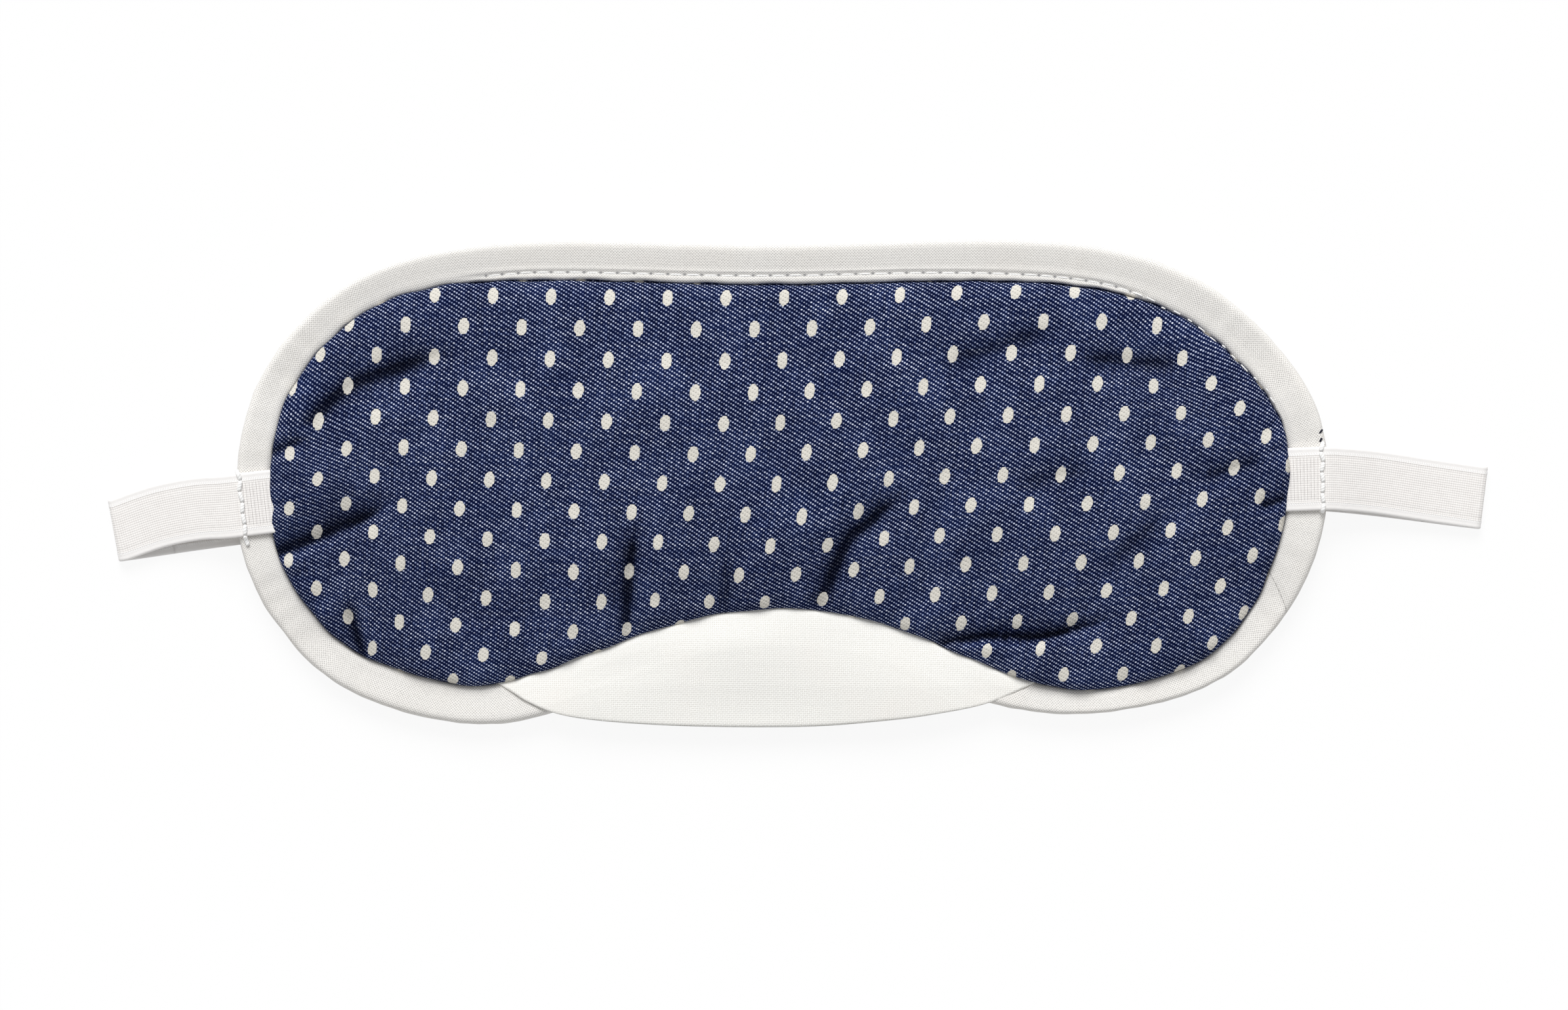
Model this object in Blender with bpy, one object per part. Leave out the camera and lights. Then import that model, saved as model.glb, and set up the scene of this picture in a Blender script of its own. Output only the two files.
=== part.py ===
"""Padded sleep mask with a bound edge, a nose flap and an elastic head strap.

The mask lies front panel up (+Z) with its brow edge towards +Y. The strap is sewn to
both ends of the mask, folds under at its left and right ends and runs back flat on the
ground (z = 0) beneath the pad, which drapes over it.
Tables and driving dimensions are in millimetres. MM turns them into metres.
"""
import math

import bmesh
import bpy
import numpy as np

MM = 0.001
GAP = 0.3

# Rim of the mask, anticlockwise from its right end: x, y and the binding's width there.
RIM = [
    (101.0, -1.0, 7.6), (98.4, 15.4, 7.3), (90.6, 26.9, 7.4), (79.0, 37.0, 7.6),
    (62.0, 43.9, 7.9), (40.0, 46.1, 7.9), (-6.0, 45.2, 7.6), (-50.0, 45.7, 7.3),
    (-68.0, 43.7, 6.7), (-82.0, 39.0, 6.4), (-94.0, 29.6, 6.4), (-102.0, 17.6, 6.4),
    (-105.3, 2.0, 6.5), (-103.6, -15.6, 6.6), (-97.5, -27.2, 6.8), (-88.0, -37.0, 7.1),
    (-74.5, -43.2, 7.6), (-60.0, -45.7, 7.8), (-48.5, -44.4, 8.2), (-34.0, -38.6, 7.6),
    (-18.0, -33.2, 7.5), (-3.0, -31.2, 7.5), (12.0, -32.8, 7.3), (27.0, -38.0, 7.0),
    (40.0, -42.4, 6.2), (54.0, -43.8, 4.8), (68.2, -41.9, 4.8), (80.6, -37.3, 5.2),
    (90.4, -28.5, 6.0), (97.5, -17.0, 7.4),
]
RIM_STATIONS = 76
CENTRE = (-2.0, 6.0)

# Folded binding, once round its section: fraction of its width from the outer edge, height.
BINDING_SECTION = [
    (1.0, 4.7), (0.78, 4.95), (0.45, 4.7), (0.18, 3.9), (0.0, 2.4), (0.12, 0.9), (0.35, 0.0),
    (1.0, 0.0), (1.0, 0.7), (0.45, 0.7), (0.32, 2.2), (0.45, 3.75), (1.0, 3.75),
]
BINDING_CROWN = 4.95
SEAM_ALLOWANCE = 0.48

# Front of the pad from the binding inwards: distance in from the binding, height, and how
# far the surface leans (the inward share of its normal).
FRONT_EDGE = [(0.3, 3.45, 0.6), (1.0, 5.2, 0.75), (2.6, 6.4, 0.45), (6.0, 7.3, 0.15)]
FRONT_SEAM_HEIGHT = 3.35
FRONT_FIELD = [(0.82, 7.8), (0.6, 8.1), (0.35, 8.3)]
FRONT_MIDDLE = 8.3
FRONT_CLOTH = 0.4

# Back of the pad, which bulges down a little inside the binding.
BACK_EDGE = [(0.4, 1.1), (4.0, 0.6)]
BACK_SEAM_HEIGHT = 1.1
BACK_FIELD = [(0.7, 0.45), (0.4, 0.4)]
BACK_MIDDLE = 0.4
BACK_CLOTH = 0.4

# Creases pressed into the front: start, end, depth and half width.
CREASES = [
    ((-96.2, -13.1), (-80.1, -6.4), 1.3, 3.0),
    ((-86.8, 21.8), (-72.8, 19.1), 0.9, 4.0),
    ((-30.6, -16.5), (-30.6, -26.5), 0.9, 3.5),
    ((16.4, -1.0), (6.9, -21.8), 1.0, 4.5),
    ((27.7, -30.1), (47.5, -28.9), 1.2, 2.6),
    ((86.0, -3.0), (93.0, -4.3), 0.9, 3.0),
]

# Elastic head strap. Its middle line: over the binding and down on each side, then back.
STRAP_WIDTH = 12.0
STRAP_THICKNESS = 0.9
STRAP_BEVEL = 0.25
STRAP_FOLD_RADIUS = 0.78
STRAP_LEFT = [
    (-99.4, -3.6, 7.05), (-103.4, -4.1, 6.95), (-107.0, -4.5, 6.0),
    (-113.5, -5.2, 3.9), (-120.5, -6.5, 2.6),
]
STRAP_RIGHT = [
    (93.5, 0.6, 7.05), (98.6, 0.8, 6.95), (102.4, 0.8, 6.0),
    (110.5, 0.1, 3.9), (120.0, -1.3, 2.6),
]
STRAP_BACK = [
    (-129.6, -8.8), (-105.0, -5.8), (-70.0, -1.9), (0.0, 2.2), (70.0, 1.8), (101.2, 0.6), (129.6, -2.8),
]
STRAP_FRONT_STATIONS = 14
STRAP_BACK_STATIONS = 32
STRAP_FOLD_STATIONS = 7

# The pad drapes over the strap: how high, and how far to each side it comes down again.
DRAPE_LIFT = 1.3
DRAPE_FLAT = 10.0
DRAPE_REACH = 26.0

# Nose flap: the line between its tips is where it folds.
FLAP_FOLD_Y = -38.4
FLAP_BOTTOM = BINDING_CROWN + GAP
FLAP_CLOTH = 0.6
FLAP_DROOP = 0.05
FLAP_SEAM_GAP = 0.5
FLAP_BASE_SPAN = (-53.0, 43.5)
FLAP_LIP_SPAN = (-52.5, 42.8)
FLAP_COLUMNS = 26
FLAP_ROWS = 3
FLAP_LOWER_EDGE = [
    (-55.1, -38.7), (-50.8, -41.2), (-44.8, -43.8), (-37.7, -44.9), (-26.0, -45.8), (-12.4, -46.2),
    (3.7, -46.1), (16.4, -45.1), (25.9, -43.9), (36.6, -41.7), (45.8, -37.7),
]

# Sewing thread.
THREAD_RADIUS = 0.22
STITCH_LENGTH = 2.4
STITCH_RISE = 0.12
TOPSTITCH_INSET = 2.4
TOPSTITCH_FROM_X = -59.0
BAR_STITCHES = 6

# Colours as linear red, green, blue with roughness.
NAVY_TWILL = ((0.035, 0.052, 0.130), 0.85)
WHITE_COTTON = ((0.80, 0.80, 0.77), 0.90)
BINDING_COTTON = ((0.66, 0.66, 0.64), 0.90)
WADDING_FIBRE = ((0.84, 0.84, 0.82), 0.95)
ELASTIC = ((0.78, 0.76, 0.74), 0.80)
THREAD = ((0.82, 0.82, 0.82), 0.60)


def clear_scene():
    for item in list(bpy.data.objects):
        bpy.data.objects.remove(item, do_unlink=True)


def make_material(name, look):
    colour, roughness = look
    material = bpy.data.materials.new(name)
    material.use_nodes = True
    shader = material.node_tree.nodes["Principled BSDF"]
    shader.inputs["Base Color"].default_value = (*colour, 1.0)
    shader.inputs["Roughness"].default_value = roughness
    shader.inputs["Metallic"].default_value = 0.0
    return material


def make_empty(name, place):
    empty = bpy.data.objects.new(name, None)
    empty.location = [value * MM for value in place]
    bpy.context.scene.collection.objects.link(empty)
    return empty


def add_object(name, data, look, parent, place=(0.0, 0.0, 0.0)):
    """Link an object whose points are in the world, with its origin moved to place."""
    piece = bpy.data.objects.new(name, data)
    data.materials.append(make_material(name, look))
    bpy.context.scene.collection.objects.link(piece)
    piece.parent = parent
    piece.location = [(value - own / MM) * MM for value, own in zip(place, parent.location)]
    return piece


def closed_curve(points, count):
    """Evenly spaced points on a smooth closed curve (periodic cubic spline) through points."""
    knots = np.array(points, dtype=float)
    total = len(knots)
    ahead = np.roll(knots, -1, axis=0)
    spans = np.linalg.norm((ahead - knots)[:, :2], axis=1)
    slopes = (ahead - knots) / spans[:, None]
    system = np.zeros((total, total))
    for i in range(total):
        before = spans[i - 1]
        system[i, i - 1] = spans[i]
        system[i, i] = 2.0 * (before + spans[i])
        system[i, (i + 1) % total] = before
    known = 3.0 * (np.roll(spans, 1)[:, None] * slopes + spans[:, None] * np.roll(slopes, 1, axis=0))
    tangents = np.linalg.solve(system, known)
    fine = []
    for i in range(total):
        j = (i + 1) % total
        for t in np.linspace(0.0, 1.0, 40, endpoint=False):
            fine.append(hermite(knots[i], knots[j], tangents[i] * spans[i], tangents[j] * spans[i], t))
    return even_steps(np.array(fine + [fine[0]]), count + 1)[:-1]


def hermite(start, end, start_tangent, end_tangent, t):
    rise = t * t * (3.0 - 2.0 * t)
    return (
        start * (1.0 - rise)
        + end * rise
        + start_tangent * t * (1.0 - t) ** 2
        - end_tangent * t * t * (1.0 - t)
    )


def open_curve(points, count):
    """Evenly spaced points on a smooth curve through points, straight at both ends."""
    knots = np.array(points, dtype=float)
    tangents = np.gradient(knots, axis=0)
    fine = []
    for i in range(len(knots) - 1):
        for t in np.linspace(0.0, 1.0, 24, endpoint=False):
            fine.append(hermite(knots[i], knots[i + 1], tangents[i], tangents[i + 1], t))
    return even_steps(np.array(fine + [knots[-1]]), count)


def even_steps(line, count):
    steps = np.linalg.norm(np.diff(line[:, :2], axis=0), axis=1)
    along = np.concatenate([[0.0], np.cumsum(steps)])
    wanted = np.linspace(0.0, along[-1], count)
    return np.stack([np.interp(wanted, along, line[:, k]) for k in range(line.shape[1])], axis=1)


def drape(points):
    """Height that the strap beneath the pad adds at each point."""
    back = np.array(STRAP_BACK)
    away = np.abs(points[:, 1] - np.interp(points[:, 0], back[:, 0], back[:, 1]))
    fall = np.clip((DRAPE_REACH - away) / (DRAPE_REACH - DRAPE_FLAT), 0.0, 1.0)
    return DRAPE_LIFT * fall * fall * (3.0 - 2.0 * fall)


def crease_depth(points):
    """Depth of the creases in the front panel at each point."""
    depth = np.zeros(len(points))
    for start, end, deepest, half_width in CREASES:
        origin = np.array(start)
        line = np.array(end) - origin
        share = np.clip((points[:, :2] - origin) @ line / (line @ line), 0.0, 1.0)
        away = np.linalg.norm(points[:, :2] - origin - share[:, None] * line, axis=1)
        depth += deepest * np.exp(-((away / half_width) ** 2))
    return depth


class Rim:
    """Outer edge of the mask with its inward normals and the binding's width."""

    def __init__(self):
        stations = closed_curve(RIM, RIM_STATIONS)
        self.edge = stations[:, :2]
        self.width = stations[:, 2]
        along = np.roll(self.edge, -1, axis=0) - np.roll(self.edge, 1, axis=0)
        along /= np.linalg.norm(along, axis=1)[:, None]
        self.inward = np.stack([-along[:, 1], along[:, 0]], axis=1)

    def inset(self, distance):
        return self.edge + self.inward * np.broadcast_to(distance, self.width.shape)[:, None]

    def share(self, fraction):
        return self.inset(self.width * fraction)

    def inside(self, distance):
        return self.inset(self.width + distance)


def level(plan, height):
    """Points over a plan outline at a height above the draped ground."""
    points = np.column_stack([plan, np.full(len(plan), height)])
    points[:, 2] += drape(points)
    return points


def field(rim, edge_distance, share):
    """Outline of the pad drawn in towards its middle."""
    return np.array(CENTRE) + (rim.inside(edge_distance) - np.array(CENTRE)) * share


def front_rings(rim, depth):
    """Rings of the front surface from the seam to the middle, a given depth below it."""
    rings = [level(rim.share(1.0 - SEAM_ALLOWANCE), FRONT_SEAM_HEIGHT - depth)]
    for distance, height, lean in FRONT_EDGE:
        upright = math.sqrt(1.0 - lean * lean)
        rings.append(level(rim.inside(distance + depth * lean), height - depth * upright))
    for share, height in FRONT_FIELD:
        rings.append(level(field(rim, FRONT_EDGE[-1][0], share), height - depth))
    rings.append(level(np.array([CENTRE]), FRONT_MIDDLE - depth))
    for ring in rings[3:]:
        ring[:, 2] -= crease_depth(ring)
    return rings


def back_rings(rim, depth):
    """Rings of the back surface from the seam to the middle, a given depth above it."""
    rings = [level(rim.share(1.0 - SEAM_ALLOWANCE), BACK_SEAM_HEIGHT + depth)]
    for distance, height in BACK_EDGE:
        rings.append(level(rim.inside(distance), height + depth))
    for share, height in BACK_FIELD:
        rings.append(level(field(rim, BACK_EDGE[-1][0], share), height + depth))
    rings.append(level(np.array([CENTRE]), BACK_MIDDLE + depth))
    return rings


def finish_mesh(name, work):
    bmesh.ops.recalc_face_normals(work, faces=work.faces)
    mesh = bpy.data.meshes.new(name)
    work.to_mesh(mesh)
    work.free()
    mesh.shade_smooth()
    mesh.set_sharp_from_angle(angle=math.radians(50.0))
    return mesh


def add_facets(work, corners):
    """A triangle, or a quad split along its higher diagonal so that layers stay parallel."""
    if len(corners) == 4:
        a, b, c, d = corners
        if a.co.z + c.co.z < b.co.z + d.co.z:
            a, b, c, d = b, c, d, a
        work.faces.new((a, b, c))
        work.faces.new((a, c, d))
    else:
        work.faces.new(corners)


def loft(name, rings, closed=False):
    """Closed surface over a chain of rings. A ring of one point is a pole."""
    work = bmesh.new()
    loops = [[work.verts.new(point * MM) for point in ring] for ring in rings]
    pairs = list(zip(loops, loops[1:]))
    if closed:
        pairs.append((loops[-1], loops[0]))
    for one, other in pairs:
        for i in range(max(len(one), len(other))):
            near = one if len(one) == 1 else [one[i - 1], one[i]]
            far = other if len(other) == 1 else [other[i], other[i - 1]]
            add_facets(work, near + far)
    if not closed:
        for loop in (loops[0], loops[-1]):
            if len(loop) > 1:
                work.faces.new(loop)
    return finish_mesh(name, work)


def front_panel_mesh(rim):
    outside = front_rings(rim, 0.0)
    inside = front_rings(rim, FRONT_CLOTH)
    return loft("front_panel", outside[::-1] + inside)


def lining_mesh(rim):
    outside = back_rings(rim, 0.0)
    inside = back_rings(rim, BACK_CLOTH)
    return loft("lining", outside[::-1] + inside)


def wadding_mesh(rim):
    top = front_rings(rim, FRONT_CLOTH + GAP)
    bottom = back_rings(rim, BACK_CLOTH + GAP)
    return loft("wadding", top[::-1] + bottom)


def binding_mesh(rim):
    rings = [level(rim.share(fraction), height) for fraction, height in BINDING_SECTION]
    return loft("binding", rings, closed=True)


def strap_line():
    """Middle line of the strap from its left end to its right end, and its plan direction."""
    left = fold_points(STRAP_BACK[0], STRAP_BACK[1])
    right = fold_points(STRAP_BACK[-1], STRAP_BACK[-2])
    half = STRAP_THICKNESS / 2.0
    back = [(x, y, half) for x, y in STRAP_BACK[1:-1]]
    front_left = open_curve(STRAP_LEFT + [tuple(left[0])], STRAP_FRONT_STATIONS)
    front_right = open_curve([tuple(right[0])] + STRAP_RIGHT[::-1], STRAP_FRONT_STATIONS)
    under = open_curve([tuple(left[-1])] + back + [tuple(right[-1])], STRAP_BACK_STATIONS)
    return np.concatenate([front_left, left[1:-1], under, right[::-1][1:-1], front_right])


def fold_points(end, inner):
    """Half turn of the strap at the outermost point of its back run, from top to bottom."""
    out = np.array(end) - np.array(inner)
    out /= np.linalg.norm(out)
    middle = STRAP_THICKNESS / 2.0 + STRAP_FOLD_RADIUS
    points = []
    for angle in np.linspace(math.pi / 2.0, -math.pi / 2.0, STRAP_FOLD_STATIONS + 2):
        plan = np.array(end) + out * (STRAP_FOLD_RADIUS * (math.cos(angle) - 1.0))
        points.append([*plan, middle + STRAP_FOLD_RADIUS * math.sin(angle)])
    return np.array(points)


def strap_section():
    half_width = STRAP_WIDTH / 2.0
    half = STRAP_THICKNESS / 2.0
    inner_width = half_width - STRAP_BEVEL
    inner = half - STRAP_BEVEL
    return [
        (half_width, inner), (inner_width, half), (-inner_width, half), (-half_width, inner),
        (-half_width, -inner), (-inner_width, -half), (inner_width, -half), (half_width, -inner),
    ]


def strap_mesh():
    line = strap_line()
    along = np.gradient(line, axis=0)
    along /= np.linalg.norm(along, axis=1)[:, None]
    heading = np.arctan2(along[:, 1], along[:, 0])
    across_angle = np.where(along[:, 0] > 0.0, heading, heading + math.pi) + math.pi / 2.0
    turning = np.abs(along[:, 2]) > 0.5
    keep = np.where(~turning)[0]
    across_angle = np.interp(np.arange(len(line)), keep, np.unwrap(across_angle[keep]))
    rings = []
    for point, direction, angle in zip(line, along, across_angle):
        across = np.array([math.cos(angle), math.sin(angle), 0.0])
        up = np.cross(direction, across)
        up /= np.linalg.norm(up)
        rings.append(np.array([point + across * a + up * b for a, b in strap_section()]))
    return loft("head_strap", rings)


def plate_mesh(name, columns, thickness):
    """Cloth plate: columns of points across its top face, thickened downwards."""
    top = np.array(columns)
    bottom = top - np.array([0.0, 0.0, thickness])
    rings = [np.concatenate([upper, lower[::-1]]) for upper, lower in zip(top, bottom)]
    return loft(name, rings)


def flap_columns(span, upper, lower):
    columns = []
    for x in np.linspace(*span, FLAP_COLUMNS):
        ys = np.linspace(upper(x), lower(x), FLAP_ROWS)
        zs = FLAP_BOTTOM + FLAP_CLOTH - FLAP_DROOP * np.maximum(FLAP_FOLD_Y - ys, 0.0)
        columns.append(np.column_stack([np.full(FLAP_ROWS, x), ys, zs]))
    return columns


def flap_base_mesh(rim):
    seam = rim.inside(0.0)
    arch = seam[(seam[:, 1] < -15.0) & (seam[:, 0] > -62.0) & (seam[:, 0] < 56.0)]
    arch = arch[np.argsort(arch[:, 0])]
    columns = flap_columns(
        FLAP_BASE_SPAN,
        lambda x: np.interp(x, arch[:, 0], arch[:, 1]) - FLAP_SEAM_GAP,
        lambda x: FLAP_FOLD_Y + GAP / 2.0,
    )
    return plate_mesh("nose_flap_base", columns, FLAP_CLOTH)


def flap_lip_mesh():
    edge = open_curve(FLAP_LOWER_EDGE, 60)
    columns = flap_columns(
        FLAP_LIP_SPAN,
        lambda x: FLAP_FOLD_Y - GAP / 2.0,
        lambda x: np.interp(x, edge[:, 0], edge[:, 1]),
    )
    hinge = np.array(flap_hinge())
    return plate_mesh("nose_flap_lip", [column - hinge for column in columns], FLAP_CLOTH)


def flap_hinge():
    """Middle of the fold line, on the flap's upper face."""
    return (sum(FLAP_LIP_SPAN) / 2.0, FLAP_FOLD_Y, FLAP_BOTTOM + FLAP_CLOTH)


def thread_curve(name, points):
    """Thread along points, rising a little over each stitch and dipping between them."""
    steps = np.linalg.norm(np.diff(points, axis=0), axis=1)
    length = steps.sum()
    stitches = max(1, round(length / STITCH_LENGTH))
    line = even_steps(points, 2 * stitches + 1)
    line[1::2, 2] += STITCH_RISE
    curve = bpy.data.curves.new(name, "CURVE")
    curve.dimensions = "3D"
    curve.bevel_depth = THREAD_RADIUS * MM
    curve.bevel_resolution = 0
    curve.use_fill_caps = True
    spline = curve.splines.new("POLY")
    spline.points.add(len(line) - 1)
    for target, point in zip(spline.points, line):
        target.co = (*(point * MM), 1.0)
    return curve


def topstitch_line(rim):
    """Seam along the binding's inner edge, from the brow round to the right strap."""
    place = rim.inset(rim.width - TOPSTITCH_INSET)
    seam = level(place, BINDING_CROWN + GAP + THREAD_RADIUS)
    top = seam[(seam[:, 1] > STRAP_WIDTH) & (seam[:, 0] > TOPSTITCH_FROM_X)]
    return top[np.argsort(top[:, 0])]


def bar_line(ends, count):
    """Row of stitches across the strap where it leaves the binding."""
    line = open_curve(ends[:3], 9)
    seat = line[4]
    along = line[5] - line[3]
    across = np.array([-along[1], along[0], 0.0]) / np.hypot(along[0], along[1])
    reach = STRAP_WIDTH / 2.0 - STRAP_BEVEL
    rise = np.array([0.0, 0.0, STRAP_THICKNESS / 2.0 + GAP + THREAD_RADIUS])
    return np.array([seat + rise + across * share * reach for share in np.linspace(-1.0, 1.0, count)])


def build():
    clear_scene()
    rim = Rim()
    strap = make_empty("strap_ground", (0.0, 0.0, 0.0))
    mask = make_empty("mask_slide", (0.0, 0.0, 0.0))
    mask.parent = strap
    add_object("head_strap", strap_mesh(), ELASTIC, strap)
    add_object("front_panel", front_panel_mesh(rim), NAVY_TWILL, mask)
    add_object("wadding", wadding_mesh(rim), WADDING_FIBRE, mask)
    add_object("lining", lining_mesh(rim), WHITE_COTTON, mask)
    add_object("binding", binding_mesh(rim), BINDING_COTTON, mask)
    add_object("nose_flap_base", flap_base_mesh(rim), WHITE_COTTON, mask)
    add_object("nose_flap_lip", flap_lip_mesh(), WHITE_COTTON, mask, flap_hinge())
    add_object("binding_topstitch", thread_curve("binding_topstitch", topstitch_line(rim)), THREAD, mask)
    left_bar = thread_curve("strap_stitch_left", bar_line(STRAP_LEFT, BAR_STITCHES))
    add_object("strap_stitch_left", left_bar, THREAD, mask)
    right_bar = thread_curve("strap_stitch_right", bar_line(STRAP_RIGHT, BAR_STITCHES))
    add_object("strap_stitch_right", right_bar, THREAD, mask)


build()
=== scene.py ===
"""Looks of the padded sleep mask: cloth, binding, elastic, thread, light and camera.

Lengths are millimetres in the frame of the CAD model, and MM turns them into metres. Each
cloth mesh carries the place of its threads as a vertex attribute called cloth, in
millimetres, so that the weave stays on the cloth when the part moves.
"""
import math

import bpy
import numpy as np
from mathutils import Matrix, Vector
from mathutils.geometry import delaunay_2d_cdt


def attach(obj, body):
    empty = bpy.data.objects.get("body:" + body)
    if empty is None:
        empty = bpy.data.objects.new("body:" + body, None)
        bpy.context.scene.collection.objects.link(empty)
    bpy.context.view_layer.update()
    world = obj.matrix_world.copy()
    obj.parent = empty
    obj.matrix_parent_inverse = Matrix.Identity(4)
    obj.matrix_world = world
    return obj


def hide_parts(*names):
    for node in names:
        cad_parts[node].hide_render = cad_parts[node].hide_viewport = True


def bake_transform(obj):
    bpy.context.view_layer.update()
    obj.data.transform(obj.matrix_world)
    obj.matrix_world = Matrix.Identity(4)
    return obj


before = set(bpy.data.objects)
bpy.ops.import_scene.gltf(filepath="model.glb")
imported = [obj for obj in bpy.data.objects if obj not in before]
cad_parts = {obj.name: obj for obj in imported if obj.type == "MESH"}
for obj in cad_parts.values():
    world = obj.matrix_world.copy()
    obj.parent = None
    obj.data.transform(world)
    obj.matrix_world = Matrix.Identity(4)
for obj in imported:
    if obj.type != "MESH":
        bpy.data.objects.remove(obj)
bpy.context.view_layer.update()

MM = 0.001
TURN = 2.0 * math.pi
TINY = 1e-9
CURVE_DETAIL = 40

# Rim of the mask, anticlockwise from its right end: x, y and the binding's width there.
RIM = [
    (101, -1, 7.6), (98.4, 15.4, 7.3), (90.6, 26.9, 7.4), (79, 37, 7.6),
    (62, 43.9, 7.9), (40, 46.1, 7.9), (-6, 45.2, 7.6), (-50, 45.7, 7.3),
    (-68, 43.7, 6.7), (-82, 39, 6.4), (-94, 29.6, 6.4), (-102, 17.6, 6.4),
    (-105.3, 2, 6.5), (-103.6, -15.6, 6.6), (-97.5, -27.2, 6.8), (-88, -37, 7.1),
    (-74.5, -43.2, 7.6), (-60, -45.7, 7.45), (-48.5, -44.4, 8.2), (-34, -38.6, 7.6),
    (-18, -33.2, 7.5), (-3, -31.2, 7.5), (12, -32.8, 7.3), (27, -38, 7),
    (40, -42.4, 6.2), (54, -43.8, 4.8), (68.2, -41.9, 4.8), (80.6, -37.3, 5.2),
    (90.4, -28.5, 6), (97.5, -17, 7.4),
]
RIM_STATIONS = 720

# The pad drapes over the strap that lies beneath it.
STRAP_BACK = [
    (-128.6, -9), (-105, -5.7), (-70, -1.9), (0, 2.2), (70, 1.8), (101.2, 0.6),
    (130.5, -2.8),
]
DRAPE_LIFT = 1.3
DRAPE_FLAT = 10.0
DRAPE_REACH = 26.0

# Front of the pad at its edge: distance in from the binding, how much of the local bulge
# it takes, and height. Then heights further in, by distance from the binding.
FRONT_EDGE = [
    (-3.2, 0, 3.32), (-0.6, 0, 3.36), (0.25, 0, 3.5), (0.42, 0.25, 4.2), (0.35, 0.75, 4.9),
    (0.65, 0.8, 5.5), (1.3, 0.65, 6.05), (2.4, 0.35, 6.6), (4, 0.1, 7), (6, 0, 7.3),
]
FRONT_EDGE_RINGS = 26
FRONT_FIELD = [(6, 7.3), (8, 7.5), (12, 7.78), (18, 8.05), (26, 8.25), (40, 8.35)]
FRONT_GRID = 0.9
FRONT_CLOTH = 0.4

# How far the front bulges over the binding, how much less it bulges and puckers beside the
# seam along the brow, and how far in from the binding its relief has grown full.
EDGE_BULGE = 0.62
EDGE_BULGE_SEWN = 0.5
PUCKER_SEWN = 0.6
EDGE_RELIEF_REACH = 6.0

# Unevenness: height, wavelength and seed of each sum of waves, and how the waves vary.
BULGE_WAVES = [(0.09, 12, 7)]
PUCKER_WAVES = [(0.16, 6.5, 8)]
FRONT_WAVES = [(0.26, 34, 3), (0.13, 14, 4), (0.045, 6.5, 5)]
BACK_WAVES = [(1, 30, 11)]
TAPE_PUCKERS = [(0.02, 5, 21), (0.04, 16, 22)]
TAPE_WAVES = [(0.05, 9, 23)]
TAPE_LUMPS = [(0.05, 11, 24), (0.02, 4.5, 25)]
FLAP_WAVES = [(0.24, 30, 31)]
WAVES_SUMMED = 9
WAVE_SPREAD = (0.7, 1.5)

# Wadding: its distance below the front, how much wider the folds are in it, and its least
# height. Then the ring of the front that it starts at, its edge and its underside.
WADDING_SPACE = 1.5
WADDING_SPREAD = 2.2
WADDING_LEAST = 2.3
WADDING_FIRST_RING = 8
WADDING_INSET = 0.7
WADDING_EDGE_HEIGHT = 1.9
WADDING_BACK_RING = (4.5, 1.35)
WADDING_BACK_SPACE = 0.35

# Folds in the front: path with the soft shaded side on its left, depth, width of the soft
# side and width of the steep side.
FOLDS = [
    ([(-98, -13.8), (-92, -11.6), (-86, -9), (-80, -6.4), (-74, -1.6)], 2.4, 6, 1.2),
    ([(-81.2, -32), (-83, -27), (-84, -21)], 1.5, 3.2, 1.6),
    ([(-91, 12), (-84, 18), (-75, 21.5), (-61.5, 26.2)], 1.5, 4.6, 3.6),
    ([(-99, 5.6), (-95, 7.2), (-91, 8.6)], 1.2, 2.4, 1.6),
    ([(-31.4, -26.5), (-30.6, -16), (-29.2, -6)], 1.6, 4.4, 1.5),
    ([(-13.2, -24), (-12.2, -14)], 0.8, 3.5, 2.5),
    ([(5.6, -22), (10.4, -11.2), (14.6, -7.4), (23, 0.6)], 1.9, 4.4, 2),
    ([
        (28.6, -30.5), (32, -30), (36.6, -29.4), (43, -29.6), (48, -29.2), (54, -27.6),
        (63, -25),
    ], 2.8, 3.4, 0.8),
    ([(92.4, -2.9), (90.6, -3.7), (87, -4.8)], 1.4, 1.4, 2),
    ([(78, 1), (90, 5.2)], 0.9, 3.4, 2.4),
    ([(60, -15), (72, -4)], 0.8, 4.6, 3.6),
    ([(30, 23), (52, 30)], 0.9, 4.6, 3.6),
    ([(56, 23.4), (76, 22)], 1.1, 4.2, 3.2),
    ([(44, 0), (58, 3)], 0.7, 4.6, 3.6),
]

# Section of a fold, as shares of its depth and width: a round valley, a crease in it and a
# low ridge beside its steep side. The fold starts and ends over these shares of its path.
FOLD_STEPS = 40
VALLEY_DEPTH = 0.6
VALLEY_POWER = 1.6
CREASE_DEPTH = 0.4
CREASE_WIDTH = 0.28
RIDGE_HEIGHT = 0.03
RIDGE_PLACE = 2.6
RIDGE_WIDTH = 1.6
FOLD_STARTS = 0.3
FOLD_ENDS = 0.6
FOLD_AT_START = 0.12

# Shade in a fold: strength and width of its two parts, and how much of it a shallow fold has.
SHADE_PARTS = [(0.5, 0.85), (0.8, 0.36)]
SHADE_BY_DEPTH = 0.6
SHADE_AT_START = 0.22

# Rows of mesh points along a fold: distances from its path, and steps along it.
FOLD_ROWS = (-0.8, -0.4, 0, 0.4, 0.8)
FOLD_ROW_STEP = 0.6
FOLD_ROW_CLEAR = 0.5
GRID_CLEAR = 0.7

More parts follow.
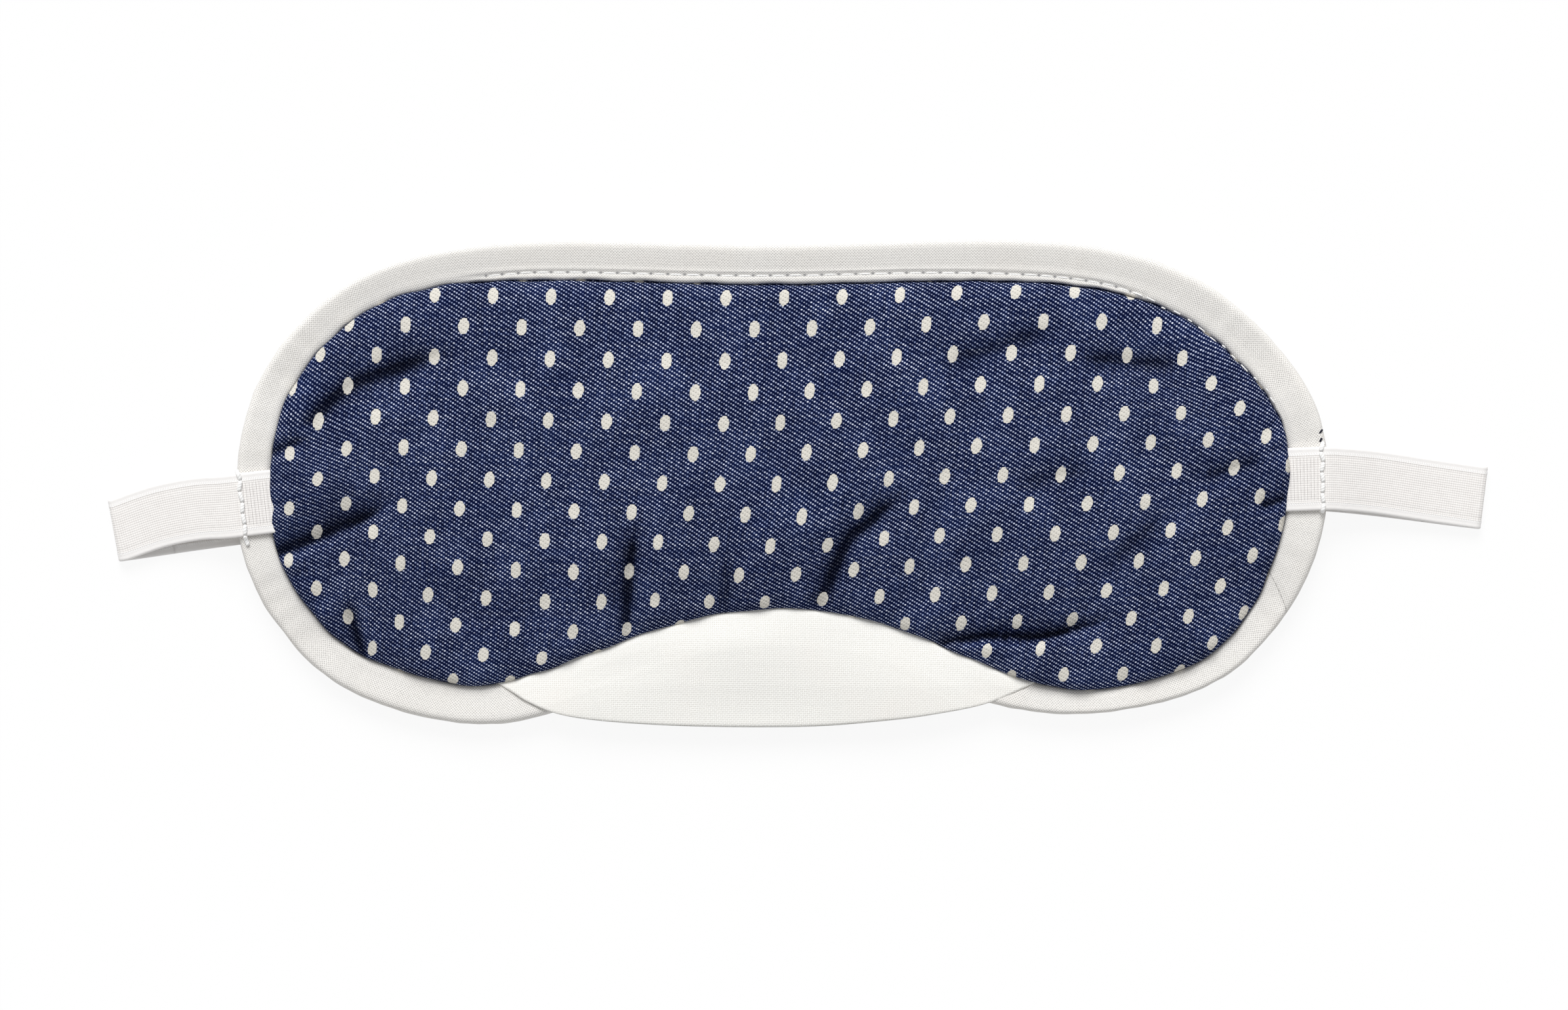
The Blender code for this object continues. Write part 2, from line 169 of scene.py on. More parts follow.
# Where the sewing pulls the rows of dots aside: place, pull and reach.
CLOTH_PULLS = [
    ((-96, -5), (0, -1), 6), ((-94, 8), (0, -2), 9),
    ((-84, -14), (0, 1), 12), ((-85, -27), (1, 0.5), 7),
    ((-43, -28), (1, -1), 14), ((-8, -19), (-0.5, -1), 12),
    ((4, -9), (0, -1), 8), ((-14, 7), (0.5, -0.5), 18),
    ((32, -7), (-0.5, 0.5), 18), ((34, 27), (-0.5, 0.5), 14),
    ((73, 25), (-1, -2), 11), ((53, -34), (-1, 0.5), 9),
]

# How the whole front cloth lies askew: u changes with y, xy and yy, and v with x, xx and yy.
ASKEW_U = (-0.0636, -0.000539, 0.000423)
ASKEW_V = (-0.00934, -0.000256, -0.000873)

# Back of the pad: distance in from the binding and height.
BACK_EDGE = [(-3.2, 1.1), (-0.6, 1.08), (0.4, 1.05), (1.6, 0.8), (4, 0.6)]
BACK_FIELD = [(4, 0.6), (9, 0.5), (20, 0.42), (40, 0.4)]
BACK_EDGE_RINGS = 10
BACK_GRID = 1.8
BACK_CLOTH = 0.4
BACK_UNEVEN = 0.10

# Binding from its inner top edge round to its inner bottom edge. Near the navy: share of the
# seam's distance from the navy, height, and what the seam adds to the height. Further out:
# share of the width from the rim, and height.
BINDING_STRIP = [
    (0, 3.5, 0.35), (0.1, 3.84, 0.3), (0.42, 4.16, 0.3), (0.74, 4.31, 0.12),
    (1, 4.38, -0.36), (1.28, 4.45, 0.02),
]
BINDING_TOP = [
    (0.64, 4.57), (0.5, 4.72), (0.36, 4.87), (0.24, 4.98), (0.14, 5.02), (0.07, 4.84),
    (0.025, 4.3), (0.004, 3.4), (0, 2.5), (0.022, 1.5), (0.08, 0.7), (0.18, 0.25),
    (0.35, 0.06), (0.6, 0), (1, 0),
]
BINDING_CLOTH = 0.55
BINDING_RINGS = 44
BINDING_TURN_HEIGHT = 2.5
STRIP_LEAST = 0.8
OFF_SEAM_MOST = 2.0

# The turned edge of the binding is lumpy about this height, over this much of its height and
# width.
LUMPS_HEIGHT = 2.8
LUMPS_SPREAD = 1.8
LUMPS_WIDTH = 0.3

# Seam along the brow: distance from the navy by x, height by that distance, and its start.
TOPSTITCH_INSET = [
    (-59, 1), (-50, 1.35), (0, 1.6), (20, 1.6), (40, 1.35), (60, 1.05), (65, 0.7),
    (69, 0.1), (78, -0.25), (86, -0.2), (90, 0.4), (95, 0.9),
]
TOPSTITCH_HEIGHT = [(-0.3, 5.45), (0.3, 5), (0.9, 4.2), (1.6, 4.15)]
TOPSTITCH_FROM_X = -59.0
TOPSTITCH_FROM_Y = 12.0
STITCH_PITCH = 3.2
STITCH_POINTS = 13
STITCH_SIDES = 8
STITCH_RADIUS = 0.18
STITCH_THINNER = 0.04
STITCH_ARCH = 0.12
STITCH_SINK = 0.08
BACK_STITCH_RADIUS = 0.15
BACK_STITCH_HEIGHT = 0.1

# Where the two ends of the binding meet, how far one laps over the other, and its step.
JOIN_AT_NAVY = (91.9, -16.9)
JOIN_AT_RIM = (93.3, -25.1)
JOIN_LAP = 7.0
JOIN_STEP = 0.14

# Two short stitches of dark thread caught at the edge of the binding over the right strap.
DARK_STITCHES = [((99.2, 9.3, 6.2), (99.9, 10.1, 6)), ((99.3, 7.7, 6.28), (99.75, 8.5, 6.25))]
DARK_STITCH_POINTS = 9
DARK_STITCH_RADIUS = 0.2

# Nose flap: the line that it folds on, heights by distance from the seam, and its lower edge.
FLAP_FOLD_Y = -38.4
FLAP_RISE = [
    (0, 4.45), (0.5, 4.72), (1.2, 4.95), (3, 5.28), (5, 5.52), (7, 5.68), (10, 5.75),
]
FLAP_DROOP = 0.05
FLAP_SINK = 0.05
FLAP_CLOTH = 0.38
FLAP_LOWER_EDGE = [
    (-56.6, -37.3), (-55.1, -38.4), (-52.7, -39.9), (-50.3, -41.4), (-45, -43.6), (-37.7, -44.9),
    (-26, -45.8), (-12.4, -46.2), (3.7, -46.1), (16.4, -45.1), (25.9, -43.9), (36.6, -41.7),
    (45.8, -37.7),
]
FLAP_SPAN = (-56.2, 45.7)
FLAP_OVER_NAVY = 0.25
FLAP_LEAST = 0.12
FLAP_ROLL = 0.15
FLAP_ROLL_WIDTH = 0.5
FLAP_COLUMNS = 180
FLAP_ROWS = 46

# Stretch of the navy's edge that makes the nose arch.
ARCH_X = (-62, 56)
ARCH_BELOW_Y = -15.0

# Elastic head strap: middle line of each front run, and half of its section.
STRAP_THICKNESS = 0.9
STRAP_FOLD_RADIUS = 0.78
STRAP_LEFT = [
    (-97.4, -3.4, 6.05), (-100.6, -3.75, 6.45), (-104.3, -4.2, 6.86), (-107.4, -4.55, 6),
    (-113.3, -4.95, 3.9), (-120.4, -6.35, 2.6),
]
STRAP_RIGHT = [
    (91.9, 0.5, 6.05), (95.6, 0.65, 6.42), (99.9, 0.8, 6.86), (103.2, 0.75, 6), (110.5, 0.1, 3.9),
    (120, -1.3, 2.6),
]
STRAP_HALF_SECTION = [
    (0, 0.40), (1, 0.40), (2, 0.40), (3, 0.40), (3.9, 0.40), (4.15, 0.37), (4.4, 0.42),
    (4.7, 0.45), (4.95, 0.41), (5.2, 0.40), (5.45, 0.43), (5.75, 0.41), (5.93, 0.26), (6, 0),
]
STRAP_UNDER = 9.0
STRAP_FOLD_STEPS = 17
STRAP_FRONT_STEPS = 70
STRAP_BACK_STEPS = 320
STRAP_EASING = 25
FAR_FROM_END = 100.0

# Bars of thick stitches across the strap: place, reach to both sides, and the stitches' shape.
BAR_STITCHES = 7
BAR_X = (-104.2, 99.7)
BAR_SPANS = ((-7.9, 6.7), (-6.6, 7))
BAR_RADIUS = 0.4
BAR_FLAT = 0.6
BAR_SIDES = 10
BAR_POINTS = 15
BAR_GAP = 0.03
BAR_LEAN = 0.2
BAR_UNEVEN = (0.1, 2.3)
BAR_RISE = 0.06
BAR_ARCH = 0.14
BAR_DIP = 0.7
BAR_DIP_SIDE = (5.7, 7)

# Twill: width of a warp thread, height of a pick, repeat of three picks, size of a fleck.
TWILL_WARP = 0.441
TWILL_PICK = 0.2593
TWILL_REPEAT = 0.778
FLECK_HALF = (0.42, 0.19)

# Dots: distance of columns and rows, where the first is, half width and length, and lean.
DOT_COLUMNS = 10.78
DOT_ROWS = 5.624
DOT_START = (0.328, 0.048)
DOT_HALF = (0.98, 1.49)
DOT_LEAN = 0.06
DOT_STEPPED = 0.45

# Widths of the threads of the white cloths and of the elastic.
COTTON_PITCH = 0.36
BINDING_PITCH = 0.39
ELASTIC_RIB = 0.43
ELASTIC_WEFT = 0.42
ELASTIC_SLIPPED = 0.64
THREAD_TWIST = 0.55
JOIN_DASH = 0.9

# Colours. A pair is the darkest and the lightest yarn.
NAVY = ((0.0004, 0.0011, 0.0095), (0.0016, 0.0046, 0.038))
# Lighter navy where a painted sheen lies on wide patches.
NAVY_PAINTED_SHEEN = (0.0110, 0.0240, 0.105)
# Navy darkened by a fold's painted shade.
NAVY_PAINTED_FOLD_SHADE = (0.0004, 0.0008, 0.004)
FLECK = ((0.43, 0.50, 0.69), (0.84, 0.88, 0.97))
FLECK_EDGE = (0.031, 0.054, 0.165)
ECRU = ((0.68, 0.65, 0.585), (0.86, 0.83, 0.76))
# Dark ties of warp in the dots, and painted shade in the furrows between their picks.
ECRU_TIES_AND_FURROW_SHADE = (0.33, 0.32, 0.30)
# Ecru darkened by a fold's painted shade.
ECRU_PAINTED_FOLD_SHADE = (0.30, 0.29, 0.27)
COTTON = (0.965, 0.96, 0.925)
# Painted shade in the holes between the cotton's threads.
COTTON_PIT_SHADE = (0.56, 0.53, 0.48)
COTTON_WARM = (0.94, 0.91, 0.87)
BINDING = (0.925, 0.905, 0.87)
# Painted shade in the holes between the binding's threads.
BINDING_PIT_SHADE = (0.27, 0.26, 0.25)
BINDING_WARM = (0.86, 0.83, 0.785)
# Painted shade in the needle holes.
NEEDLE_HOLE_SHADE = (0.10, 0.10, 0.12)
SEAM_SHADE = (0.55, 0.56, 0.58)
JOIN_SHADE = (0.22, 0.21, 0.20)
ELASTIC = ((0.885, 0.855, 0.83), (0.94, 0.92, 0.90))
# Painted shade in the grooves of the elastic, and in its slipped gaps.
ELASTIC_GROOVE_SHADE = (0.62, 0.58, 0.56)
ELASTIC_GAP_SHADE = (0.46, 0.43, 0.42)
SELVEDGE = (0.87, 0.86, 0.86)
SELVEDGE_LINE = (0.97, 0.96, 0.95)
# Thread in the painted shade between its plies, and on them.
THREAD_PAINTED_PLY_SHADE = ((0.84, 0.83, 0.82), (0.95, 0.95, 0.94))
DARK_THREAD = (0.006, 0.008, 0.02)
WADDING = ((0.74, 0.74, 0.72), (0.90, 0.90, 0.88))
FLOOR = (0.97, 0.97, 0.97, 1)

# Camera over the mask, light and floor.
VIEW_CENTRE = (-1.86, -4.2, 5)
VIEW_WIDTH = 296.4
LENS = 150.0
SENSOR = 36.0
CLIP_METRES = (0.01, 20)
SKY = 0.46
KEY_STRENGTH = 2.65
KEY_ANGLE = 35.0
KEY_FROM = (-0.12, 0.84, 0.76)
FLOOR_HALF = 1600.0
FLOOR_HEIGHT = -0.05
FLOOR_GLOW = 0.9


def hermite(start, end, start_tangent, end_tangent, t):
    rise = t * t * (3.0 - 2.0 * t)
    return (
        start * (1.0 - rise)
        + end * rise
        + start_tangent * t * (1.0 - t) ** 2
        - end_tangent * t * t * (1.0 - t)
    )


def lengths(rows):
    return np.linalg.norm(rows, axis=1)


def unit(rows):
    """The rows as directions of length 1."""
    return rows / np.maximum(lengths(rows), TINY)[:, None]


def travelled(line):
    """Distance along a line of points up to each of them."""
    return np.concatenate([[0.0], np.cumsum(lengths(np.diff(line, axis=0)))])


def lookup(table, at):
    """Values from a table of places and values, straight between its rows."""
    table = np.array(table)
    return np.interp(at, table[:, 0], table[:, 1])


def over(plan, height):
    """Points over a plan at one height, or each at its own."""
    return np.column_stack([plan, np.broadcast_to(height, len(plan))])


def columns_at(wanted, along, table):
    """Rows of a table at the wanted places along it."""
    return np.stack([np.interp(wanted, along, column) for column in table.T], axis=1)


def even_steps(line, count):
    along = travelled(line[:, :2])
    return columns_at(np.linspace(0.0, along[-1], count), along, line)


def closed_curve(points, count):
    """Evenly spaced points on a smooth closed curve (periodic cubic spline) through points."""
    knots = np.array(points, dtype=float)
    total = len(knots)
    ahead = np.roll(knots, -1, axis=0)
    spans = lengths((ahead - knots)[:, :2])
    slopes = (ahead - knots) / spans[:, None]
    system = np.zeros((total, total))
    for i in range(total):
        before = spans[i - 1]
        system[i, i - 1] = spans[i]
        system[i, i] = 2.0 * (before + spans[i])
        system[i, (i + 1) % total] = before
    known = 3.0 * (np.roll(spans, 1)[:, None] * slopes + spans[:, None] * np.roll(slopes, 1, axis=0))
    tangents = np.linalg.solve(system, known)
    fine = []
    for i in range(total):
        j = (i + 1) % total
        for t in np.linspace(0.0, 1.0, CURVE_DETAIL, endpoint=False):
            fine.append(hermite(knots[i], knots[j], tangents[i] * spans[i], tangents[j] * spans[i], t))
    return even_steps(np.array(fine + [fine[0]]), count + 1)[:-1]


def open_curve(points, count):
    """Evenly spaced points on a smooth curve through points."""
    knots = np.array(points, dtype=float)
    tangents = np.gradient(knots, axis=0)
    fine = []
    for i in range(len(knots) - 1):
        for t in np.linspace(0.0, 1.0, CURVE_DETAIL, endpoint=False):
            fine.append(hermite(knots[i], knots[i + 1], tangents[i], tangents[i + 1], t))
    return even_steps(np.array(fine + [knots[-1]]), count)


def smooth_rings(rings, count):
    """More rings on smooth curves through a few rings of equal size."""
    knots = np.array(rings)
    spans = np.linalg.norm(np.diff(knots, axis=0), axis=2).mean(axis=1)
    reach = np.concatenate([[0.0], np.cumsum(spans)])
    tangents = np.gradient(knots, reach, axis=0)
    made = []
    for place in np.linspace(0.0, reach[-1], count):
        i = min(int(np.searchsorted(reach, place, side="right")) - 1, len(knots) - 2)
        t = (place - reach[i]) / spans[i]
        made.append(hermite(knots[i], knots[i + 1], tangents[i] * spans[i], tangents[i + 1] * spans[i], t))
    return made


def smoothstep(low, high, value):
    share = np.clip((value - low) / (high - low), 0.0, 1.0)
    return share * share * (3.0 - 2.0 * share)


def drape(points):
    """Height that the strap beneath the pad adds at each point."""
    away = np.abs(points[:, 1] - lookup(STRAP_BACK, points[:, 0]))
    return DRAPE_LIFT * smoothstep(DRAPE_REACH, DRAPE_FLAT, away)


def ripple(points, wavelength, seed):
    """Smooth uneven surface of about unit height, the same on every run."""
    draw = np.random.RandomState(seed)
    total = np.zeros(len(points))
    for _ in range(WAVES_SUMMED):
        angle = draw.uniform(0.0, TURN)
        scale = draw.uniform(*WAVE_SPREAD) * 2.0 * math.pi / wavelength
        phase = draw.uniform(0.0, TURN)
        total += np.cos(scale * (points[:, 0] * math.cos(angle) + points[:, 1] * math.sin(angle)) + phase)
    return total * math.sqrt(2.0 / WAVES_SUMMED)


def uneven(points, waves):
    """Sum of uneven surfaces over the points."""
    return sum(height * ripple(points, wavelength, seed) for height, wavelength, seed in waves)


class Rim:
    """Outer edge of the mask with its inward normals and the binding's width."""

    def __init__(self):
        stations = closed_curve(RIM, RIM_STATIONS)
        self.edge = stations[:, :2]
        self.width = stations[:, 2]
        ahead = np.roll(self.edge, -1, axis=0)
        along = unit(ahead - np.roll(self.edge, 1, axis=0))
        self.inward = np.stack([-along[:, 1], along[:, 0]], axis=1)
        steps = lengths(ahead - self.edge)
        self.length = steps.sum()
        self.along = np.concatenate([[0.0], np.cumsum(steps)[:-1]])
        self.seam = self.inset(self.width)
        at_rim = lengths(self.edge - np.array(JOIN_AT_RIM)).argmin()
        at_navy = lengths(self.seam - np.array(JOIN_AT_NAVY)).argmin()
        self.join = float(self.along[at_navy])
        self.join_slant = float((self.along[at_rim] - self.join) / self.width[at_navy])

    def inset(self, distance):
        return self.edge + self.inward * np.broadcast_to(distance, self.width.shape)[:, None]

    def inside(self, distance):
        return self.inset(self.width + distance)

    def seam_inset(self):
        """Distance of the binding's seam from the navy at each station."""
        return lookup(TOPSTITCH_INSET, self.seam[:, 0])

    def stitched(self):
        """1 along the stretch where the binding's seam shows, 0 elsewhere."""
        rise = smoothstep(TOPSTITCH_FROM_X - 6.0, TOPSTITCH_FROM_X + 4.0, self.seam[:, 0])
        return rise * smoothstep(TOPSTITCH_FROM_Y - 4.0, TOPSTITCH_FROM_Y + 3.0, self.seam[:, 1])

    def ripple(self, wavelength, seed):
        """Uneven line round the edge, of about unit height."""
        draw = np.random.RandomState(seed)
        turn = np.linspace(0.0, TURN, RIM_STATIONS, endpoint=False)
        total = np.zeros(RIM_STATIONS)
        for _ in range(WAVES_SUMMED):
            cycles = max(1, round(self.length / (wavelength * draw.uniform(*WAVE_SPREAD))))
            total += np.cos(cycles * turn + draw.uniform(0.0, TURN))
        return total * math.sqrt(2.0 / WAVES_SUMMED)

    def uneven(self, waves):
        """Sum of uneven lines round the edge."""
        return sum(height * self.ripple(wavelength, seed) for height, wavelength, seed in waves)


def away_from(line, points, batch=2000):
    """Distance of each point from the nearest point of a line."""
    nearest = np.empty(len(points))
    for first in range(0, len(points), batch):
        part = points[first:first + batch, None, :2] - line[None, :, :]
        nearest[first:first + batch] = np.sqrt((part ** 2).sum(axis=2).min(axis=1))
    return nearest


def fold_depth(points, spread=0.0):
    """Depth of the folds of the front at each point, and how far each point is in their shade.

    spread makes the folds wider on both sides.
    """
    depth = np.zeros(len(points))
    shade = np.zeros(len(points))
    every = np.arange(len(points))
    for path, deepest, soft, steep in FOLDS:
        line = open_curve(path, FOLD_STEPS)
        gap = points[:, None, :2] - line[None, :, :]
        far = (gap ** 2).sum(axis=2)
        near = far.argmin(axis=1)
        away = np.maximum(np.sqrt(far[every, near]) - spread, 0.0)
        along = np.gradient(line, axis=0)[near]
        to_left = along[:, 0] * gap[every, near, 1] - along[:, 1] * gap[every, near, 0]
        width = np.where(to_left > 0.0, soft, steep)
        share = near / (FOLD_STEPS - 1.0)
        ending = smoothstep(1.0, FOLD_ENDS, share)
        taper = smoothstep(0.0, FOLD_STARTS, share + FOLD_AT_START) * ending
        valley = VALLEY_DEPTH * np.exp(-((away / width) ** VALLEY_POWER))
        valley += CREASE_DEPTH * np.exp(-away / (CREASE_WIDTH * width))
        ridge = np.exp(-(((away - RIDGE_PLACE * steep) / (RIDGE_WIDTH * steep)) ** 2))
        ridge = np.where(to_left < 0.0, ridge, 0.0)
        depth += deepest * taper * (valley - RIDGE_HEIGHT * ridge)
        dark = sum(part * np.exp(-((away / (reach * width)) ** 2)) for part, reach in SHADE_PARTS)
        shaded = smoothstep(0.0, FOLD_STARTS, share + SHADE_AT_START) * ending
        shade += shaded * min(1.0, SHADE_BY_DEPTH * deepest) * dark
    return depth, np.minimum(shade, 1.0)


def front_relief(points, from_seam):
    """Folds and unevenness of the front, away from its flat height."""
    relief = -fold_depth(points)[0]
    relief += uneven(points, FRONT_WAVES)
    return relief * smoothstep(0.2, 3.0, from_seam)


def pulled(plan):
    """How far the sewing has pulled the front cloth out of its even grid."""
    shift = np.zeros((len(plan), 2))
    for place, pull, reach in CLOTH_PULLS:
        away = ((plan[:, :2] - np.array(place)) ** 2).sum(axis=1)
        shift += np.exp(-away / reach ** 2)[:, None] * np.array(pull)
    return shift


def lattice(plan):
    """Thread coordinates of the front cloth: the weave is pulled a little askew."""
    plan = plan - pulled(plan)
    x, y = plan[:, 0], plan[:, 1]
    u = x + ASKEW_U[0] * y + ASKEW_U[1] * x * y + ASKEW_U[2] * y * y
    v = y + ASKEW_V[0] * x + ASKEW_V[1] * x * x + ASKEW_V[2] * y * y
    return np.column_stack([u, v, np.zeros(len(x))])


def fold_points_plan():
    """Close rows of points along the folds, so that their creases come out sharp."""
    rows = []
    for path, _, _, _ in FOLDS:
        line = open_curve(path, 200)
        length = lengths(np.diff(line, axis=0)).sum()
        line = even_steps(line, int(length / FOLD_ROW_STEP))
        along = unit(np.gradient(line, axis=0))
        side = np.column_stack([-along[:, 1], along[:, 0]])
        rows += [line + side * off for off in FOLD_ROWS]
    return np.concatenate(rows)


def fill_points(outline, spacing, extra=None):
    """Points of a regular grid of triangles inside an outline, clear of it and of extra points."""
    low, high = outline.min(axis=0), outline.max(axis=0)
    rows = np.arange(low[1], high[1], spacing * math.sqrt(3.0) / 2.0)
    grid = []
    for i, y in enumerate(rows):
        xs = np.arange(low[0] + (i % 2) * spacing / 2.0, high[0], spacing)
        grid.append(np.column_stack([xs, np.full(len(xs), y)]))
    grid = np.concatenate(grid)
    if extra is not None:
        grid = np.concatenate([grid[away_from(extra, grid) > FOLD_ROW_CLEAR], extra])
    grid = grid[away_from(outline, grid) > GRID_CLEAR * spacing]
    return grid[within(outline, grid)]


def within(outline, points):
    """Whether each point lies inside a closed outline."""
    x, y = points[:, 0], points[:, 1]
    inside = np.zeros(len(points), dtype=bool)
    for (ax, ay), (bx, by) in zip(outline, np.roll(outline, -1, axis=0)):
        if ay != by:
            crosses = (ay > y) != (by > y)
            inside ^= crosses & (x < (bx - ax) * (y - ay) / (by - ay) + ax)
    return inside


def grid_faces(rows, columns, closed=False):
    """Faces of a grid of points. A closed grid joins its last column to its first."""
    faces = []
    for low in range(0, (rows - 1) * columns, columns):
        high = low + columns
        for c in range(columns if closed else columns - 1):
            d = (c + 1) % columns
            faces.append((low + c, low + d, high + d, high + c))
    return faces


def flipped(faces):
    return [face[::-1] for face in faces]


def dome(edge_rings, spacing, height, extra=None):
    """Points and faces of a sheet: rings at its edge, then triangles over the inside.

    height gives the points over a plan. Also returns the plan of the inner points.
    """
    count = len(edge_rings[0])
    outline = edge_rings[-1][:, :2]
    grid = fill_points(outline, spacing, extra)
    plan = np.concatenate([outline, grid])
    flat = [Vector(point) for point in plan]
    triangles = delaunay_2d_cdt(flat, [], [list(range(count))], 1, 1e-6, True)
    where = [sources[0] for sources in triangles[3]]
    inner = np.array([[where[corner] for corner in face] for face in triangles[2]])
    inner = inner[within(outline, plan[inner].mean(axis=1))]
    base = (len(edge_rings) - 1) * count
    faces = grid_faces(len(edge_rings), count, closed=True)
    faces += [tuple(face) for face in (inner + base).tolist()]
    points = np.concatenate(list(edge_rings) + [height(grid)])
    return points, faces, grid


def vertex_normals(points, faces):
    normals = np.zeros_like(points)
    for size in (3, 4):
        chosen = np.array([face for face in faces if len(face) == size])
        if len(chosen):
            corners = points[chosen]
            if size == 4:
                across = np.cross(corners[:, 2] - corners[:, 0], corners[:, 3] - corners[:, 1])
            else:
                across = np.cross(corners[:, 1] - corners[:, 0], corners[:, 2] - corners[:, 0])
            for k in range(size):
                np.add.at(normals, chosen[:, k], across)
    return unit(normals)


def thicken(points, faces, thickness, cloth):
    """Closed shell: the faces given, a second side under them, and the edges between."""
    inner = points - vertex_normals(points, faces) * thickness
    count = len(points)
    shell = list(faces) + [tuple(corner + count for corner in face[::-1]) for face in faces]
    # A dictionary keeps the edges in order.
    edges = dict.fromkeys(edge for face in faces for edge in zip(face, face[1:] + face[:1]))
    for a, b in edges:
        if (b, a) not in edges:
            shell.append((b, a, a + count, b + count))
    return np.concatenate([points, inner]), shell, np.concatenate([cloth, cloth])


def make_piece(name, points, faces, material, cloth=None):
    mesh = bpy.data.meshes.new(name)
    mesh.from_pydata([tuple(point) for point in points * MM], [], faces)
    mesh.update()
    # Cut ends have many corners and stay flat, so that shading doesn't run round them.
    mesh.polygons.foreach_set("use_smooth", [len(face) <= 4 for face in faces])
    if cloth is not None:
        stored = mesh.attributes.new("cloth", "FLOAT_VECTOR", "POINT")
        stored.data.foreach_set("vector", np.asarray(cloth, dtype=np.float32).ravel())
    mesh.materials.append(material)
    piece = bpy.data.objects.new(name, mesh)
    bpy.context.scene.collection.objects.link(piece)
    return piece


class Field:
    """Value over the surface. Sums with it make the nodes of its material."""

    def __init__(self, nodes, socket):
        self.nodes = nodes
        self.socket = socket

    def do(self, operation, *others):
        return self.nodes.math(operation, self, *others)

    def __add__(self, other):
        return self.do("ADD", other)

    def __sub__(self, other):
        return self.do("SUBTRACT", other)

    def __rsub__(self, other):
        return self.nodes.math("SUBTRACT", other, self)

    def __mul__(self, other):
        return self.do("MULTIPLY", other)

    def __truediv__(self, other):
        return self.do("DIVIDE", other)

    def __abs__(self):
        return self.do("ABSOLUTE")

    def square(self):
        return self.do("ABSOLUTE").do("POWER", 2.0)

    def centred(self):
        """Place between two whole numbers, from -0.5 to 0.5."""
        return self.do("FRACT") - 0.5

    def ribs(self, pitch):
        """Threads side by side: 0 between them and 1 on them."""
        return abs((self * (math.pi / pitch)).do("SINE"))

    def step(self, low, high, start=0.0, end=1.0):
        """Smooth step from start at low to end at high."""
        node = self.nodes.new("MapRange")
        node.interpolation_type = "SMOOTHSTEP"
        for value, socket in zip((self, low, high, start, end), node.inputs):
            self.nodes.put(value, socket)
        return Field(self.nodes, node.outputs["Result"])


class Nodes:
    """Small helper that wires up one material, or the world."""

    def __init__(self, name, library="materials"):
        self.owner = getattr(bpy.data, library).new(name)
        self.owner.use_nodes = True
        self.tree = self.owner.node_tree
        self.shader = self.tree.nodes.get("Principled BSDF")

    def new(self, kind, **inputs):
        node = self.tree.nodes.new("ShaderNode" + kind)
        for name, value in inputs.items():
            self.put(value, node.inputs[name])
        return node

    def put(self, value, socket):
        value = getattr(value, "socket", value)
        if isinstance(value, bpy.types.NodeSocket):
            self.tree.links.new(value, socket)
        else:
            socket.default_value = value

    def math(self, operation, *values):
        node = self.new("Math")
        node.operation = operation
        for value, socket in zip(values, node.inputs):
            self.put(value, socket)
        return Field(self, node.outputs[0])

    def cloth(self):
        node = self.new("Attribute")
        node.attribute_name = "cloth"
        split = self.new("SeparateXYZ", Vector=node.outputs["Vector"])
        return [Field(self, socket) for socket in split.outputs]

    def noise(self, place, scale, detail=2.0):
        """Noise at a place, which is a vector or two numbers."""
        if isinstance(place, tuple):
            place = self.new("CombineXYZ", X=place[0], Y=place[1]).outputs[0]
        node = self.new("TexNoise", Vector=place, Scale=scale, Detail=detail)
        return Field(self, node.outputs["Fac"])

    def mix(self, share, one, other):
        node = self.new("Mix", Factor=share)
        node.data_type = "RGBA"
        colours = [socket for socket in node.inputs if socket.type == "RGBA"]
        for value, socket in zip((one, other), colours):
            self.put(value if isinstance(value, Field) else (*value, 1.0), socket)
        return Field(self, [socket for socket in node.outputs if socket.type == "RGBA"][0])

    def bump(self, height, distance, strength):
        node = self.new("Bump", Height=height, Distance=distance, Strength=strength)
        self.put(node.outputs["Normal"], self.shader.inputs["Normal"])

    def finish(self, colour, roughness, sheen=0.0, gloss=0.2):
        settings = {
            "Base Color": colour, "Roughness": roughness, "Specular IOR Level": gloss,
            "Sheen Weight": sheen, "Sheen Roughness": 0.5,
        }
        for name, value in settings.items():
            self.put(value, self.shader.inputs[name])
        return self.owner


def oval_dots(u, v, ragged):
    """1 inside the dots: ovals that lean a little, in staggered rows, with ragged edges."""
    row = v / DOT_ROWS - DOT_START[1]
    row_number = row.do("ROUND")
    off_row = (row - row_number) * DOT_ROWS
    place = u / DOT_COLUMNS + DOT_START[0] + row_number * -0.5
    off_column = (place - place.do("ROUND")) * DOT_COLUMNS - off_row * DOT_LEAN
    oval = (off_column / DOT_HALF[0]).square() + (off_row / DOT_HALF[1]).square()
    return (oval + ragged * 0.3).step(1.2, 1.1)


